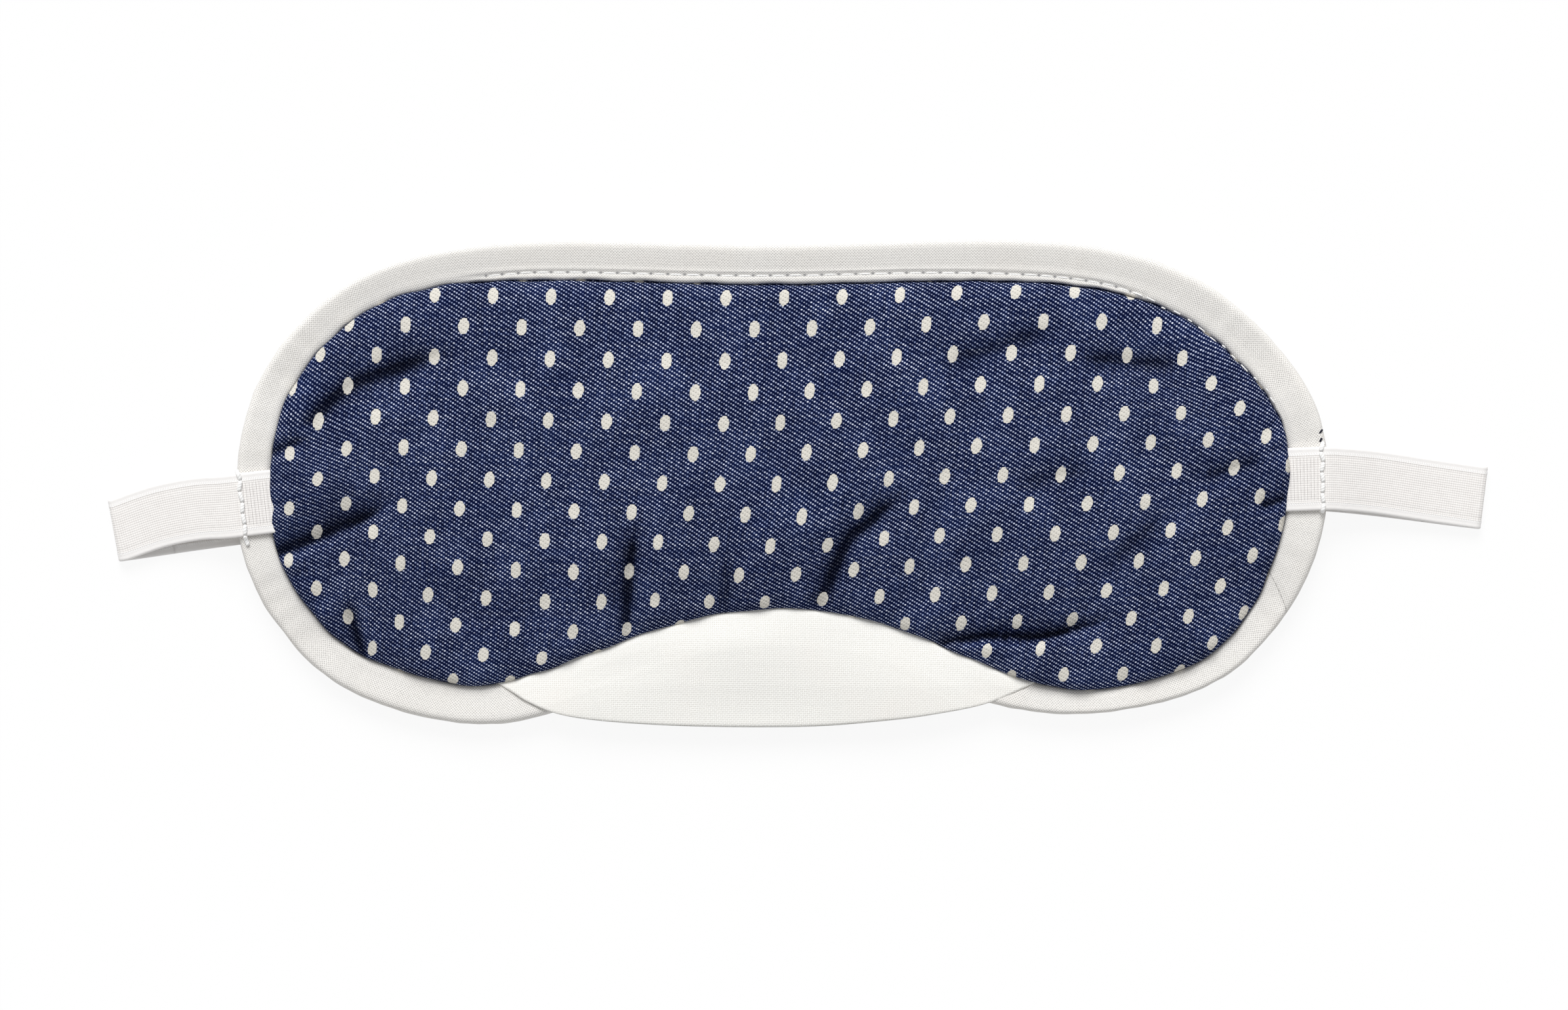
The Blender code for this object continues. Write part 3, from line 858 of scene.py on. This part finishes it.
def dotted_twill():
    """Navy twill with light weft flecks and woven oval dots."""
    n = Nodes("dotted_twill")
    u, v, painted_fold_shade = n.cloth()
    across = u / TWILL_WARP
    column = across.do("FLOOR")
    in_column = across.centred()
    slide = v / TWILL_REPEAT + column * (1.0 / 3.0)
    in_repeat = slide.centred()
    steps = slide * 3.0
    in_pick = steps.centred()

    # Uneven yarn along the warp, along the weft and from fleck to fleck, and wide patches of painted sheen
    # and shade.
    warp_yarn = n.noise((column, v * 0.10), 0.8)
    weft_yarn = n.noise((u * 0.10, (v / TWILL_PICK).do("FLOOR")), 0.8)
    each = n.noise((column, slide.do("FLOOR")), 0.73, 0.0)
    sheen_and_shade_patch = n.noise((u, v), 0.09, 3.0)

    # Where the light weft comes up between the dark warp threads.
    thick = each * 0.6 + weft_yarn * 0.4 - 0.5
    from_middle = (in_column / FLECK_HALF[0]).square() + (in_repeat / FLECK_HALF[1]).square()
    from_middle = from_middle.do("SQRT") - thick
    fleck = from_middle.step(1.28, 0.12)
    halo = from_middle.step(2.15, 0.8)

    # The edges of the dots are stepped to the threads.
    mid_u = u - in_column * (DOT_STEPPED * TWILL_WARP)
    mid_v = v - in_pick * (DOT_STEPPED * TWILL_PICK)
    dot = oval_dots(mid_u, mid_v, n.noise((column, steps.do("FLOOR")), 0.9, 1.0))

    navy = n.mix(warp_yarn, *NAVY)
    # Painted sheen: the navy is lighter in wide patches.
    navy = n.mix(sheen_and_shade_patch.step(0.44, 0.66) * warp_yarn * 0.4, navy, NAVY_PAINTED_SHEEN)
    # Painted shade: in the folds the navy turns darker.
    navy = n.mix(painted_fold_shade * 0.9, navy, NAVY_PAINTED_FOLD_SHADE)
    # Flecks dim at random, and in the darker patches with painted shade.
    even = sheen_and_shade_patch.step(0.36, 0.64, 0.82, 1.0) * each.step(0.34, 0.58, 0.6, 1.0)
    # Painted shade: in the folds the flecks fade out.
    fleck_outside_painted_shade = 1.0 - painted_fold_shade * 0.9
    ground = n.mix(halo * fleck_outside_painted_shade * even * 0.78, navy, FLECK_EDGE)
    ground = n.mix(fleck * fleck_outside_painted_shade * even, ground, n.mix(weft_yarn.step(0.3, 0.7), *FLECK))

    # The dots are weft-faced: fine picks, each tied down at every third warp thread.
    furrow_shade = abs(in_pick).step(0.26, 0.5)
    tie = abs(in_repeat).step(0.34, 0.44) * abs(in_column).step(0.46, 0.2)
    ecru = n.mix(weft_yarn, *ECRU)
    # Ties show the darker warp; the furrows between the picks get painted shade.
    ecru = n.mix((furrow_shade * 0.45).do("MAXIMUM", tie * 0.85), ecru, ECRU_TIES_AND_FURROW_SHADE)
    # Painted shade darkens the dots in the folds.
    ecru = n.mix(painted_fold_shade * 0.45, ecru, ECRU_PAINTED_FOLD_SHADE)

    ridge = (in_repeat * TURN).do("COSINE")
    thread = (in_column * TURN).do("COSINE")
    n.bump(ridge * 0.5 + thread * 0.3 + dot * 0.5, 0.00006, 0.7)
    return n.finish(n.mix(dot, ground, ecru), 0.85, 0.0, 0.02)


def plain_weave(name, pitch, turned, base, pit_shade, warm, strength):
    """Plain weave of one pale yarn, along the cloth or turned by 45 degrees, with painted shade between
    its threads.
    """
    n = Nodes(name)
    u, v, _ = n.cloth()
    if turned:
        half = math.sqrt(0.5)
        u, v = (u + v) * half, (v - u) * half
    wander = n.noise((u, v), 0.3, 1.0)
    u = u + wander * 0.5
    v = v + wander * -0.4
    crossing = (u * (math.pi / pitch)).do("SINE") * (v * (math.pi / pitch)).do("SINE")
    threads_u = u.ribs(pitch)
    threads_v = v.ribs(pitch)
    hole = threads_u.do("MAXIMUM", threads_v).step(0.85, 0.25)
    groove = threads_u.do("MINIMUM", threads_v).step(0.4, 0.0)
    slub_u = n.noise(((u / pitch).do("FLOOR"), v * 0.12), 0.7)
    slub_v = n.noise((u * 0.12, (v / pitch).do("FLOOR")), 0.7)
    slub = (slub_u + slub_v) * 0.5
    cloud = n.noise((u, v), 0.06, 3.0)
    fuzz = n.noise((u, v), 1.9, 4.0)
    colour = n.mix(slub.step(0.3, 0.7), [0.93 * part for part in base], base)
    colour = n.mix(cloud.step(0.45, 0.75) * 0.5, colour, warm)
    # Fuzz darkens the yarn at random towards the same colour as the painted shade.
    colour = n.mix(fuzz.step(0.42, 0.68) * (0.13 * strength), colour, pit_shade)
    # Painted shade in the holes and grooves between the threads.
    dark = hole.do("MAXIMUM", groove * 0.36) * slub.step(0.35, 0.65, 0.55, 1.0) * strength
    colour = n.mix(dark, colour, pit_shade)
    n.bump((threads_u + threads_v) * 0.5 + crossing * 0.3 + slub * 0.5, 0.00005, 0.7)
    return n, colour


def white_cotton():
    n, colour = plain_weave("white_cotton", COTTON_PITCH, False, COTTON, COTTON_PIT_SHADE, COTTON_WARM, 0.8)
    return n.finish(colour, 0.9, 0.05)


def binding_cotton(rim):
    """Bias tape, with painted shade in the needle holes and the groove of its seam and on the line where
    its ends meet.
    """
    n, colour = plain_weave(
        "binding_cotton", BINDING_PITCH, True, BINDING, BINDING_PIT_SHADE, BINDING_WARM, 0.95
    )
    along, reach, off_seam = n.cloth()
    from_hole = 0.5 - abs((along / STITCH_PITCH).centred())
    # Painted shade in the needle holes of the seam and along its groove.
    needle = from_hole.step(0.10, 0.05) * off_seam.step(0.34, 0.2)
    colour = n.mix(needle * 0.6, colour, NEEDLE_HOLE_SHADE)
    colour = n.mix(off_seam.step(0.4, 0.1) * 0.2, colour, SEAM_SHADE)
    from_join = abs(along - (reach * rim.join_slant + rim.join))
    dash = abs((reach / JOIN_DASH).centred())
    join_line = from_join.step(0.26, 0.08) * dash.step(0.12, 0.3, 0.45, 1.0) * 0.5
    return n.finish(n.mix(join_line, colour, JOIN_SHADE), 0.9, 0.05)


def woven_elastic():
    """Narrow woven elastic: a fine grid between two plain selvedges, each with a raised line."""
    n = Nodes("woven_elastic")
    across, along, from_end = n.cloth()
    rib = across.ribs(ELASTIC_RIB)
    weft = along.ribs(ELASTIC_WEFT)
    side = abs(across)
    selvedge = side.step(4.45, 4.6)
    between = 1.0 - selvedge
    line = side.step(4.4, 4.6) * side.step(5.0, 4.8)
    twist = (along * 14.0 + across * 6.0).do("SINE")
    # Painted shade in the grooves between the picks and the ribs, stronger or weaker at random.
    grid = weft.step(0.55, 0.0).do("MAXIMUM", rib.step(0.5, 0.0) * 0.6) * between
    uneven_groove_shade = n.noise((across, along), 0.5, 3.0).step(0.3, 0.7, 0.25, 0.6)
    fuzz = n.noise((across, along), 1.4, 3.0)
    colour = n.mix(fuzz, *ELASTIC)
    colour = n.mix(grid * uneven_groove_shade, colour, ELASTIC_GROOVE_SHADE)
    # Between the cut end and the bar the weft has slipped, and wider gaps show, darkened with painted
    # shade.
    slipped = from_end.step(8.4, 6.6)
    gap = from_end.ribs(ELASTIC_SLIPPED).step(0.5, 0.0)
    gap = gap * fuzz.step(0.3, 0.6, 0.35, 1.0) * slipped * 0.8
    colour = n.mix(gap * side.step(4.2, 3.8), colour, ELASTIC_GAP_SHADE)
    colour = n.mix(selvedge * 0.4, colour, SELVEDGE)
    colour = n.mix(line * twist.step(-0.6, 0.6), colour, SELVEDGE_LINE)
    n.bump((rib + weft) * between + fuzz + line * twist * 0.5, 0.00006, 0.6)
    return n.finish(colour, 0.75, 0.1)


def sewing_thread():
    """Two-ply thread: slanting plies along its length, with painted shade in the grooves between them."""
    n = Nodes("sewing_thread")
    round_it, along, dark = n.cloth()
    ply = (round_it * 2.0 + along * (TURN / THREAD_TWIST)).do("SINE")
    # Painted shade in the grooves between the plies.
    colour = n.mix(ply.step(-1.0, 0.0), *THREAD_PAINTED_PLY_SHADE)
    colour = n.mix(dark, colour, DARK_THREAD)
    n.bump(ply, 0.00004, 0.5)
    return n.finish(colour, 0.6, 0.1)


def wadding_fibre():
    n = Nodes("wadding_fibre")
    fibre = n.noise(n.new("TexCoord").outputs["Object"], 900.0, 6.0)
    n.bump(fibre, 0.0004, 0.8)
    return n.finish(n.mix(fibre, *WADDING), 0.95)


def front_edge_rings(rim, folded=True):
    """Rings of the front at its edge, from inside the binding to where the grid starts."""
    stitched = rim.stitched()
    bulge = EDGE_BULGE - EDGE_BULGE_SEWN * stitched + rim.uneven(BULGE_WAVES)
    rings = []
    for distance, share, height in FRONT_EDGE:
        rings.append(over(rim.inside(distance - share * bulge), height))
    rings = smooth_rings(rings, FRONT_EDGE_RINGS)
    if not folded:
        return rings
    pucker = rim.uneven(PUCKER_WAVES) * (1.0 - PUCKER_SEWN * stitched)
    for ring in rings:
        rise = smoothstep(4.2, 6.3, ring[:, 2])
        relief = front_relief(ring, EDGE_RELIEF_REACH * rise)
        ring[:, 2] += drape(ring) + rise * (relief + pucker * smoothstep(7.4, 6.2, ring[:, 2]))
    return rings


def front_height(rim):
    """Function that gives the points of the front over a plan."""
    def height(plan):
        from_seam = away_from(rim.seam, plan)
        points = over(plan, lookup(FRONT_FIELD, from_seam))
        points[:, 2] += drape(points) + front_relief(points, from_seam)
        return points
    return height


def front_cover(rim, material):
    rings = front_edge_rings(rim)
    points, faces, grid = dome(rings, FRONT_GRID, front_height(rim), fold_points_plan())
    # Threads run on down over the edge, so the cloth there reaches further out than its plan.
    inner = rings[-1][:, :2]
    plans = [inner]
    reach = np.zeros(RIM_STATIONS)
    smooth = front_edge_rings(rim, folded=False)
    for ring, next_ring in zip(smooth[-2::-1], smooth[:0:-1]):
        reach = reach + lengths(ring - next_ring)
        plans.append(inner - rim.inward * reach[:, None])
    cloth = lattice(np.concatenate(plans[::-1] + [grid]))
    # The third value is how far each point lies in a fold's shade, which the twill paints into its colour.
    cloth[:, 2] = fold_depth(points)[1]
    points, faces, cloth = thicken(points, faces, FRONT_CLOTH, cloth)
    piece = make_piece("front_cover", points, faces, material, cloth)
    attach(piece, "mask")
    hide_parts("front_panel")


def back_height(rim, lift=0.0):
    """Function that gives the points of the back over a plan."""
    def height(plan):
        from_seam = away_from(rim.seam, plan)
        points = over(plan, lookup(BACK_FIELD, from_seam) + lift)
        rough = BACK_UNEVEN * (1.0 + uneven(points, BACK_WAVES))
        points[:, 2] += drape(points) + rough * smoothstep(3.0, 9.0, from_seam)
        return points
    return height


def back_lining(rim, material):
    rings = [over(rim.inside(distance), height) for distance, height in BACK_EDGE]
    rings = smooth_rings(rings, BACK_EDGE_RINGS)
    for ring in rings:
        ring[:, 2] += drape(ring)
    points, faces, _ = dome(rings, BACK_GRID, back_height(rim))
    points, faces, cloth = thicken(points, flipped(faces), BACK_CLOTH, over(points[:, :2], 0.0))
    piece = make_piece("back_lining", points, faces, material, cloth)
    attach(piece, "mask")
    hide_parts("lining")


def pad_wadding(rim, material):
    """Filling between the two cloths."""
    top_rings = []
    for ring in front_edge_rings(rim)[WADDING_FIRST_RING:]:
        inner = ring.copy()
        inner[:, :2] += rim.inward * WADDING_INSET
        deeper = fold_depth(inner, WADDING_SPREAD)[0] - fold_depth(ring)[0]
        inner[:, 2] -= WADDING_SPACE + np.maximum(deeper, 0.0)
        inner[:, 2] = np.maximum(inner[:, 2], WADDING_LEAST + drape(inner))
        top_rings.append(inner)
    under = top_rings[0].copy()
    under[:, 2] = WADDING_EDGE_HEIGHT + drape(under)
    front = front_height(rim)

    def top_height(plan):
        points = front(plan)
        points[:, 2] -= WADDING_SPACE + fold_depth(points, WADDING_SPREAD)[0] - fold_depth(points)[0]
        points[:, 2] = np.maximum(points[:, 2], WADDING_LEAST + drape(points))
        return points

    points, faces, _ = dome([under] + top_rings, BACK_GRID, top_height)
    back_ring = over(rim.inside(WADDING_BACK_RING[0]), WADDING_BACK_RING[1])
    back_ring[:, 2] += drape(back_ring)
    back = back_height(rim, BACK_CLOTH + WADDING_BACK_SPACE)
    low_points, low_faces, _ = dome([under, back_ring], BACK_GRID, back)
    # Both halves share the ring at the edge.
    more = len(points) - RIM_STATIONS
    joined = [i if i < RIM_STATIONS else i + more for i in range(len(low_points))]
    faces = faces + [tuple(joined[corner] for corner in face) for face in flipped(low_faces)]
    points = np.concatenate([points, low_points[RIM_STATIONS:]])
    piece = make_piece("pad_wadding", points, faces, material)
    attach(piece, "mask")
    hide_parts("wadding")


def binding_rings(rim, inset, stitched):
    """Rings of the binding's outer skin, from its inner top edge to its inner bottom edge."""
    pucker = rim.uneven(TAPE_PUCKERS)
    wave = rim.uneven(TAPE_WAVES)
    lumps = rim.uneven(TAPE_LUMPS)
    strip = np.maximum(inset, STRIP_LEAST)
    skin = []
    for share, height, seam in BINDING_STRIP:
        plan = rim.inset(rim.width - share * strip + wave * (BINDING_STRIP[-1][0] - share))
        skin.append(over(plan, height + seam * stitched + pucker * 0.5))
    for share, height in BINDING_TOP:
        top = height > BINDING_TURN_HEIGHT
        lumpy = math.exp(-((height - LUMPS_HEIGHT) / LUMPS_SPREAD) ** 2) * (share < LUMPS_WIDTH)
        # One end of the tape lies over the other, beyond a slanting line.
        past = rim.along - rim.join - rim.join_slant * rim.width * (1.0 - share)
        lap = JOIN_STEP * smoothstep(0.0, 0.4, past) * smoothstep(JOIN_LAP, 0.6 * JOIN_LAP, past)
        plan = rim.inset(rim.width * share - lumps * lumpy)
        skin.append(over(plan, height + (pucker + lap) * top))
    return smooth_rings(skin, BINDING_RINGS)


def edge_binding(rim, material):
    """Bias tape folded over the edge, with the groove of its seam along the brow."""
    inset = rim.seam_inset()
    stitched = rim.stitched() * smoothstep(0.3, 1.0, inset)
    rings = binding_rings(rim, inset, stitched)
    reach = np.zeros(RIM_STATIONS)
    cloth = []
    for k, ring in enumerate(rings):
        if k:
            reach = reach + lengths(ring - rings[k - 1])
        from_navy = rim.width - lengths(ring[:, :2] - rim.edge)
        off_seam = np.minimum(np.abs(from_navy - inset), OFF_SEAM_MOST)
        off_seam = np.where((stitched > 0.5) & (k < BINDING_RINGS // 2), off_seam, OFF_SEAM_MOST)
        cloth.append(np.column_stack([rim.along, reach, off_seam]))
    for ring in rings:
        ring[:, 2] += drape(ring)
    faces = flipped(grid_faces(len(rings), RIM_STATIONS, closed=True))
    points, faces, cloth = thicken(np.concatenate(rings), faces, BINDING_CLOTH, np.concatenate(cloth))
    piece = make_piece("edge_binding", points, faces, material, cloth)
    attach(piece, "mask")
    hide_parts("binding")


def nose_flap(rim, material):
    """Lens of doubled cloth sewn into the nose arch, free below the line between its tips."""
    x, y = rim.seam.T
    arch = rim.seam[(y < ARCH_BELOW_Y) & (x > ARCH_X[0]) & (x < ARCH_X[1])]
    arch = arch[np.argsort(arch[:, 0])]
    xs = np.linspace(*FLAP_SPAN, FLAP_COLUMNS)
    upper = lookup(arch, xs) + FLAP_OVER_NAVY
    lower = np.minimum(lookup(open_curve(FLAP_LOWER_EDGE, 200), xs), upper - FLAP_LEAST)
    rows = []
    for share in np.linspace(0.0, 1.0, FLAP_ROWS):
        ys = upper + (lower - upper) * share
        plan = np.column_stack([xs, ys])
        from_seam = upper - FLAP_OVER_NAVY - ys
        z = lookup(FLAP_RISE, from_seam) - FLAP_DROOP * np.maximum(FLAP_FOLD_Y - ys, 0.0)
        z += (uneven(plan, FLAP_WAVES) - FLAP_SINK) * smoothstep(1.0, 7.0, from_seam)
        z -= FLAP_ROLL * smoothstep(FLAP_ROLL_WIDTH, 0.0, ys - lower) ** 2
        rows.append(over(plan, z))
    points = np.concatenate(rows)
    faces = flipped(grid_faces(FLAP_ROWS, FLAP_COLUMNS))
    points, faces, cloth = thicken(points, faces, FLAP_CLOTH, over(points[:, :2], 0.0))
    piece = make_piece("nose_flap", points, faces, material, cloth)
    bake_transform(piece)
    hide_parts("nose_flap_base", "nose_flap_lip")


def metres(x, y, z):
    return (x * MM, y * MM, z * MM)


def fold_points(end, inner):
    """Half turn of the strap at the outermost point of its back run, from top to bottom."""
    out = np.array(end) - np.array(inner)
    out /= np.linalg.norm(out)
    middle = STRAP_THICKNESS / 2.0 + STRAP_FOLD_RADIUS
    points = []
    for angle in np.linspace(math.pi / 2.0, -math.pi / 2.0, STRAP_FOLD_STEPS):
        plan = np.array(end) + out * (STRAP_FOLD_RADIUS * (math.cos(angle) - 1.0))
        points.append([*plan, middle + STRAP_FOLD_RADIUS * math.sin(angle)])
    return np.array(points)


def strap_lines():
    """Middle lines of the strap's left end, back run and right end."""
    left = fold_points(STRAP_BACK[0], STRAP_BACK[1])
    right = fold_points(STRAP_BACK[-1], STRAP_BACK[-2])
    back = [(x, y, STRAP_THICKNESS / 2.0) for x, y in STRAP_BACK[1:-1]]
    under = open_curve([tuple(left[-1])] + back + [tuple(right[-1])], STRAP_BACK_STEPS)
    first = int((under[:, 0] - under[0, 0] < STRAP_UNDER).sum())
    last = len(under) - 1 - int((under[-1, 0] - under[:, 0] < STRAP_UNDER).sum())
    front_left = open_curve(STRAP_LEFT + [tuple(left[0])], STRAP_FRONT_STEPS)
    front_right = open_curve(STRAP_RIGHT + [tuple(right[0])], STRAP_FRONT_STEPS)
    left_end = np.concatenate([front_left, left[1:], under[1:first + 1]])
    right_end = np.concatenate([front_right, right[1:], under[-2:last - 1:-1]])
    return left_end, under[first:last + 1], right_end


def strap_mesh(line, sewn):
    """Woven band along a line: its points, faces and threads. A sewn one starts at a cut end."""
    along = unit(np.gradient(line, axis=0))
    heading = np.arctan2(along[:, 1], along[:, 0])
    angle = np.where(along[:, 0] > 0.0, heading, heading + math.pi) + math.pi / 2.0
    # The folded end keeps the slant of the run in front of it.
    flat = np.where(np.abs(along[:, 2]) < 0.5)[0]
    before = np.searchsorted(flat, np.arange(len(line)), side="right") - 1
    angle = np.unwrap(angle[flat])[np.maximum(before, 0)]
    easing = np.full(STRAP_EASING, 1.0 / STRAP_EASING)
    angle = np.convolve(np.pad(angle, STRAP_EASING // 2, mode="edge"), easing, mode="valid")
    across = np.column_stack([np.cos(angle), np.sin(angle), np.zeros(len(line))])
    up = unit(np.cross(along, across))
    half = STRAP_HALF_SECTION
    top = half[::-1] + [(-a, b) for a, b in half[1:]]
    section = top + [(a, -b) for a, b in top[-2:0:-1]]
    points, cloth = [], []
    for place, side, rise, gone in zip(line, across, up, travelled(line)):
        for a, b in section:
            points.append(place + side * a + rise * b)
            cloth.append((a, gone, gone if sewn else gone + FAR_FROM_END))
    count = len(section)
    total = len(points)
    faces = grid_faces(len(line), count, closed=True)
    faces += [tuple(range(count)), tuple(range(total - 1, total - count - 1, -1))]
    return np.array(points), faces, np.array(cloth)


def head_strap(material):
    names = ("strap_left_end", "strap_back_run", "strap_right_end")
    pieces = []
    for name, line in zip(names, strap_lines()):
        points, faces, cloth = strap_mesh(line, name != "strap_back_run")
        piece = make_piece(name, points, faces, material, cloth)
        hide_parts("head_strap")
        pieces.append(piece)
    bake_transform(pieces[0])
    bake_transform(pieces[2])
    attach(pieces[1], "strap")


def tube(line, radius, sides, flat=1.0):
    """Points, faces and threads of a closed tube along a line, round or squashed flat."""
    along = unit(np.gradient(line, axis=0))
    side = unit(np.cross(along, np.array([0.0, 0.0, 1.0])))
    up = np.cross(side, along)
    gone = travelled(line)
    ends = np.minimum(gone, gone[-1] - gone)
    points, cloth = [], []
    for i, place in enumerate(line):
        size = radius * math.sqrt(max(0.05, 1.0 - max(0.0, 1.0 - ends[i] / radius) ** 2))
        for k in range(sides):
            turn = TURN * k / sides
            points.append(place + size * (math.cos(turn) * side[i] + flat * math.sin(turn) * up[i]))
            cloth.append((turn, gone[i], 0.0))
    faces = flipped(grid_faces(len(line), sides, closed=True))
    faces += [tuple(range(sides)), tuple((len(line) - 1) * sides + k for k in reversed(range(sides)))]
    return np.array(points), faces, np.array(cloth)


def stitch_piece(name, node, parts, material):
    """One piece from several stitches, each with its points, faces and threads."""
    faces = []
    base = 0
    for part_points, part_faces, _ in parts:
        faces += [tuple(corner + base for corner in face) for face in part_faces]
        base += len(part_points)
    points = np.concatenate([part[0] for part in parts])
    cloth = np.concatenate([part[2] for part in parts])
    piece = make_piece(name, points, faces, material, cloth)
    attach(piece, "mask")
    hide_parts(node)


def seam_stitches(rim, material):
    """Stitches lying in the groove of the binding along the brow."""
    inset = rim.seam_inset()
    line = over(rim.inset(rim.width - inset), lookup(TOPSTITCH_HEIGHT, inset))
    line[:, 2] += drape(line)
    chosen = (rim.seam[:, 1] > TOPSTITCH_FROM_Y) & (rim.seam[:, 0] > TOPSTITCH_FROM_X)
    along, line = rim.along[chosen], line[chosen]
    inset, inward = inset[chosen], rim.inward[chosen]
    arch = STITCH_ARCH * np.sin(np.linspace(0.0, math.pi, STITCH_POINTS)) - STITCH_SINK
    draw = np.random.RandomState(61)
    parts = []
    for k in range(math.ceil(along[0] / STITCH_PITCH), math.floor(along[-1] / STITCH_PITCH)):
        # Where the seam wanders off the binding its stitches are short and uneven.
        rough = float(smoothstep(0.9, 0.2, np.interp((k + 0.5) * STITCH_PITCH, along, inset)))
        start = 0.1 + (0.05 + 0.22 * rough) * draw.uniform()
        end = 0.9 - (0.08 + 0.30 * rough) * draw.uniform()
        shift = (0.06 + 0.2 * rough) * draw.uniform(-1.0, 1.0)
        wanted = (k + np.linspace(start, end, STITCH_POINTS)) * STITCH_PITCH
        place = columns_at(wanted, along, line)
        place[:, :2] += columns_at(wanted, along, inward) * shift
        place[:, 2] += arch
        parts.append(tube(place, STITCH_RADIUS - STITCH_THINNER * rough, STITCH_SIDES))
        # The same stitch on the back of the binding.
        under = place.copy()
        under[:, 2] = BACK_STITCH_HEIGHT + drape(under)
        parts.append(tube(under, BACK_STITCH_RADIUS, STITCH_SIDES))
    for ends in DARK_STITCHES:
        points, faces, cloth = tube(open_curve(ends, DARK_STITCH_POINTS), DARK_STITCH_RADIUS, STITCH_SIDES)
        cloth[:, 2] = 1.0
        parts.append((points, faces, cloth))
    stitch_piece("binding_seam_stitches", "binding_topstitch", parts, material)


def bar_stitches(name, node, run, seat_x, span, material):
    """Close bar of thick stitches across the strap where it leaves the binding."""
    line = open_curve(run, 80)
    at = int(np.abs(line[:, 0] - seat_x).argmin())
    along = line[at + 1] - line[at - 1]
    along = np.array([along[0], along[1], 0.0]) / np.hypot(along[0], along[1])
    across = np.array([-along[1], along[0], 0.0])
    across *= np.sign(across[1])
    pitch = (span[1] - span[0]) / BAR_STITCHES
    leaning = np.linspace(-1.0, 1.0, BAR_POINTS)
    arch = STRAP_THICKNESS / 2.0 + BAR_RISE + BAR_ARCH * np.sin(np.linspace(0.0, math.pi, BAR_POINTS))
    parts = []
    for k in range(BAR_STITCHES):
        side = span[0] + pitch * (k + np.linspace(BAR_GAP, 1.0, BAR_POINTS))
        lean = BAR_LEAN * (-1) ** k + BAR_UNEVEN[0] * math.sin(BAR_UNEVEN[1] * k)
        place = line[at] + across * side[:, None] + along * (lean * leaning)[:, None]
        place[:, 2] += arch - BAR_DIP * smoothstep(*BAR_DIP_SIDE, np.abs(side))
        parts.append(tube(place, BAR_RADIUS, BAR_SIDES, BAR_FLAT))
    stitch_piece(name, node, parts, material)


def background_rays(n):
    """1 for the rays that show the background itself: straight, mirrored or through glass."""
    path = n.new("LightPath")
    seen = n.math("MAXIMUM", path.outputs["Is Camera Ray"], path.outputs["Is Glossy Ray"])
    return seen.do("MAXIMUM", path.outputs["Is Transmission Ray"])


def floor():
    """White ground that keeps a part of the mask's shadow."""
    n = Nodes("floor")
    n.finish(FLOOR, 0.9)
    glow = n.new("Emission", Strength=1.0)
    mix = n.new("MixShader", Fac=background_rays(n) * FLOOR_GLOW)
    n.put(n.shader.outputs[0], mix.inputs[1])
    n.put(glow.outputs[0], mix.inputs[2])
    n.put(mix.outputs[0], n.tree.nodes["Material Output"].inputs[0])
    corners = np.array([(-1.0, -1.0), (1.0, -1.0), (1.0, 1.0), (-1.0, 1.0)])
    ground = make_piece("floor", over(corners * FLOOR_HALF, FLOOR_HEIGHT), [(0, 1, 2, 3)], n.owner)


def light():
    """Even white sky and one wide sun. The sky looks white itself."""
    n = Nodes("studio", "worlds")
    bpy.context.scene.world = n.owner
    strength = n.new("MapRange", Value=background_rays(n))
    n.put(SKY, strength.inputs["To Min"])
    sky = n.tree.nodes["Background"]
    n.put((1.0, 1.0, 1.0, 1.0), sky.inputs["Color"])
    n.put(strength.outputs["Result"], sky.inputs["Strength"])
    lamp = bpy.data.lights.new("key", "SUN")
    lamp.energy = KEY_STRENGTH
    lamp.angle = math.radians(KEY_ANGLE)
    key = bpy.data.objects.new("key", lamp)
    key.rotation_euler = Vector(KEY_FROM).to_track_quat("Z", "Y").to_euler()
    bpy.context.scene.collection.objects.link(key)


def camera():
    """Camera that looks straight down on the mask."""
    lens = bpy.data.cameras.new("camera")
    lens.lens = LENS
    lens.sensor_width = SENSOR
    lens.clip_start, lens.clip_end = CLIP_METRES
    eye = bpy.data.objects.new("camera", lens)
    distance = VIEW_WIDTH * LENS / SENSOR
    eye.location = metres(VIEW_CENTRE[0], VIEW_CENTRE[1], VIEW_CENTRE[2] + distance)
    bpy.context.scene.collection.objects.link(eye)
    bpy.context.scene.camera = eye


def build():
    camera()
    rim = Rim()
    cotton = white_cotton()
    thread = sewing_thread()
    pad_wadding(rim, wadding_fibre())
    front_cover(rim, dotted_twill())
    back_lining(rim, cotton)
    edge_binding(rim, binding_cotton(rim))
    nose_flap(rim, cotton)
    head_strap(woven_elastic())
    seam_stitches(rim, thread)
    bar_stitches("strap_bar_left", "strap_stitch_left", STRAP_LEFT, BAR_X[0], BAR_SPANS[0], thread)
    bar_stitches("strap_bar_right", "strap_stitch_right", STRAP_RIGHT, BAR_X[1], BAR_SPANS[1], thread)
    floor()
    light()
    bpy.context.scene.view_settings.view_transform = "Standard"


build()
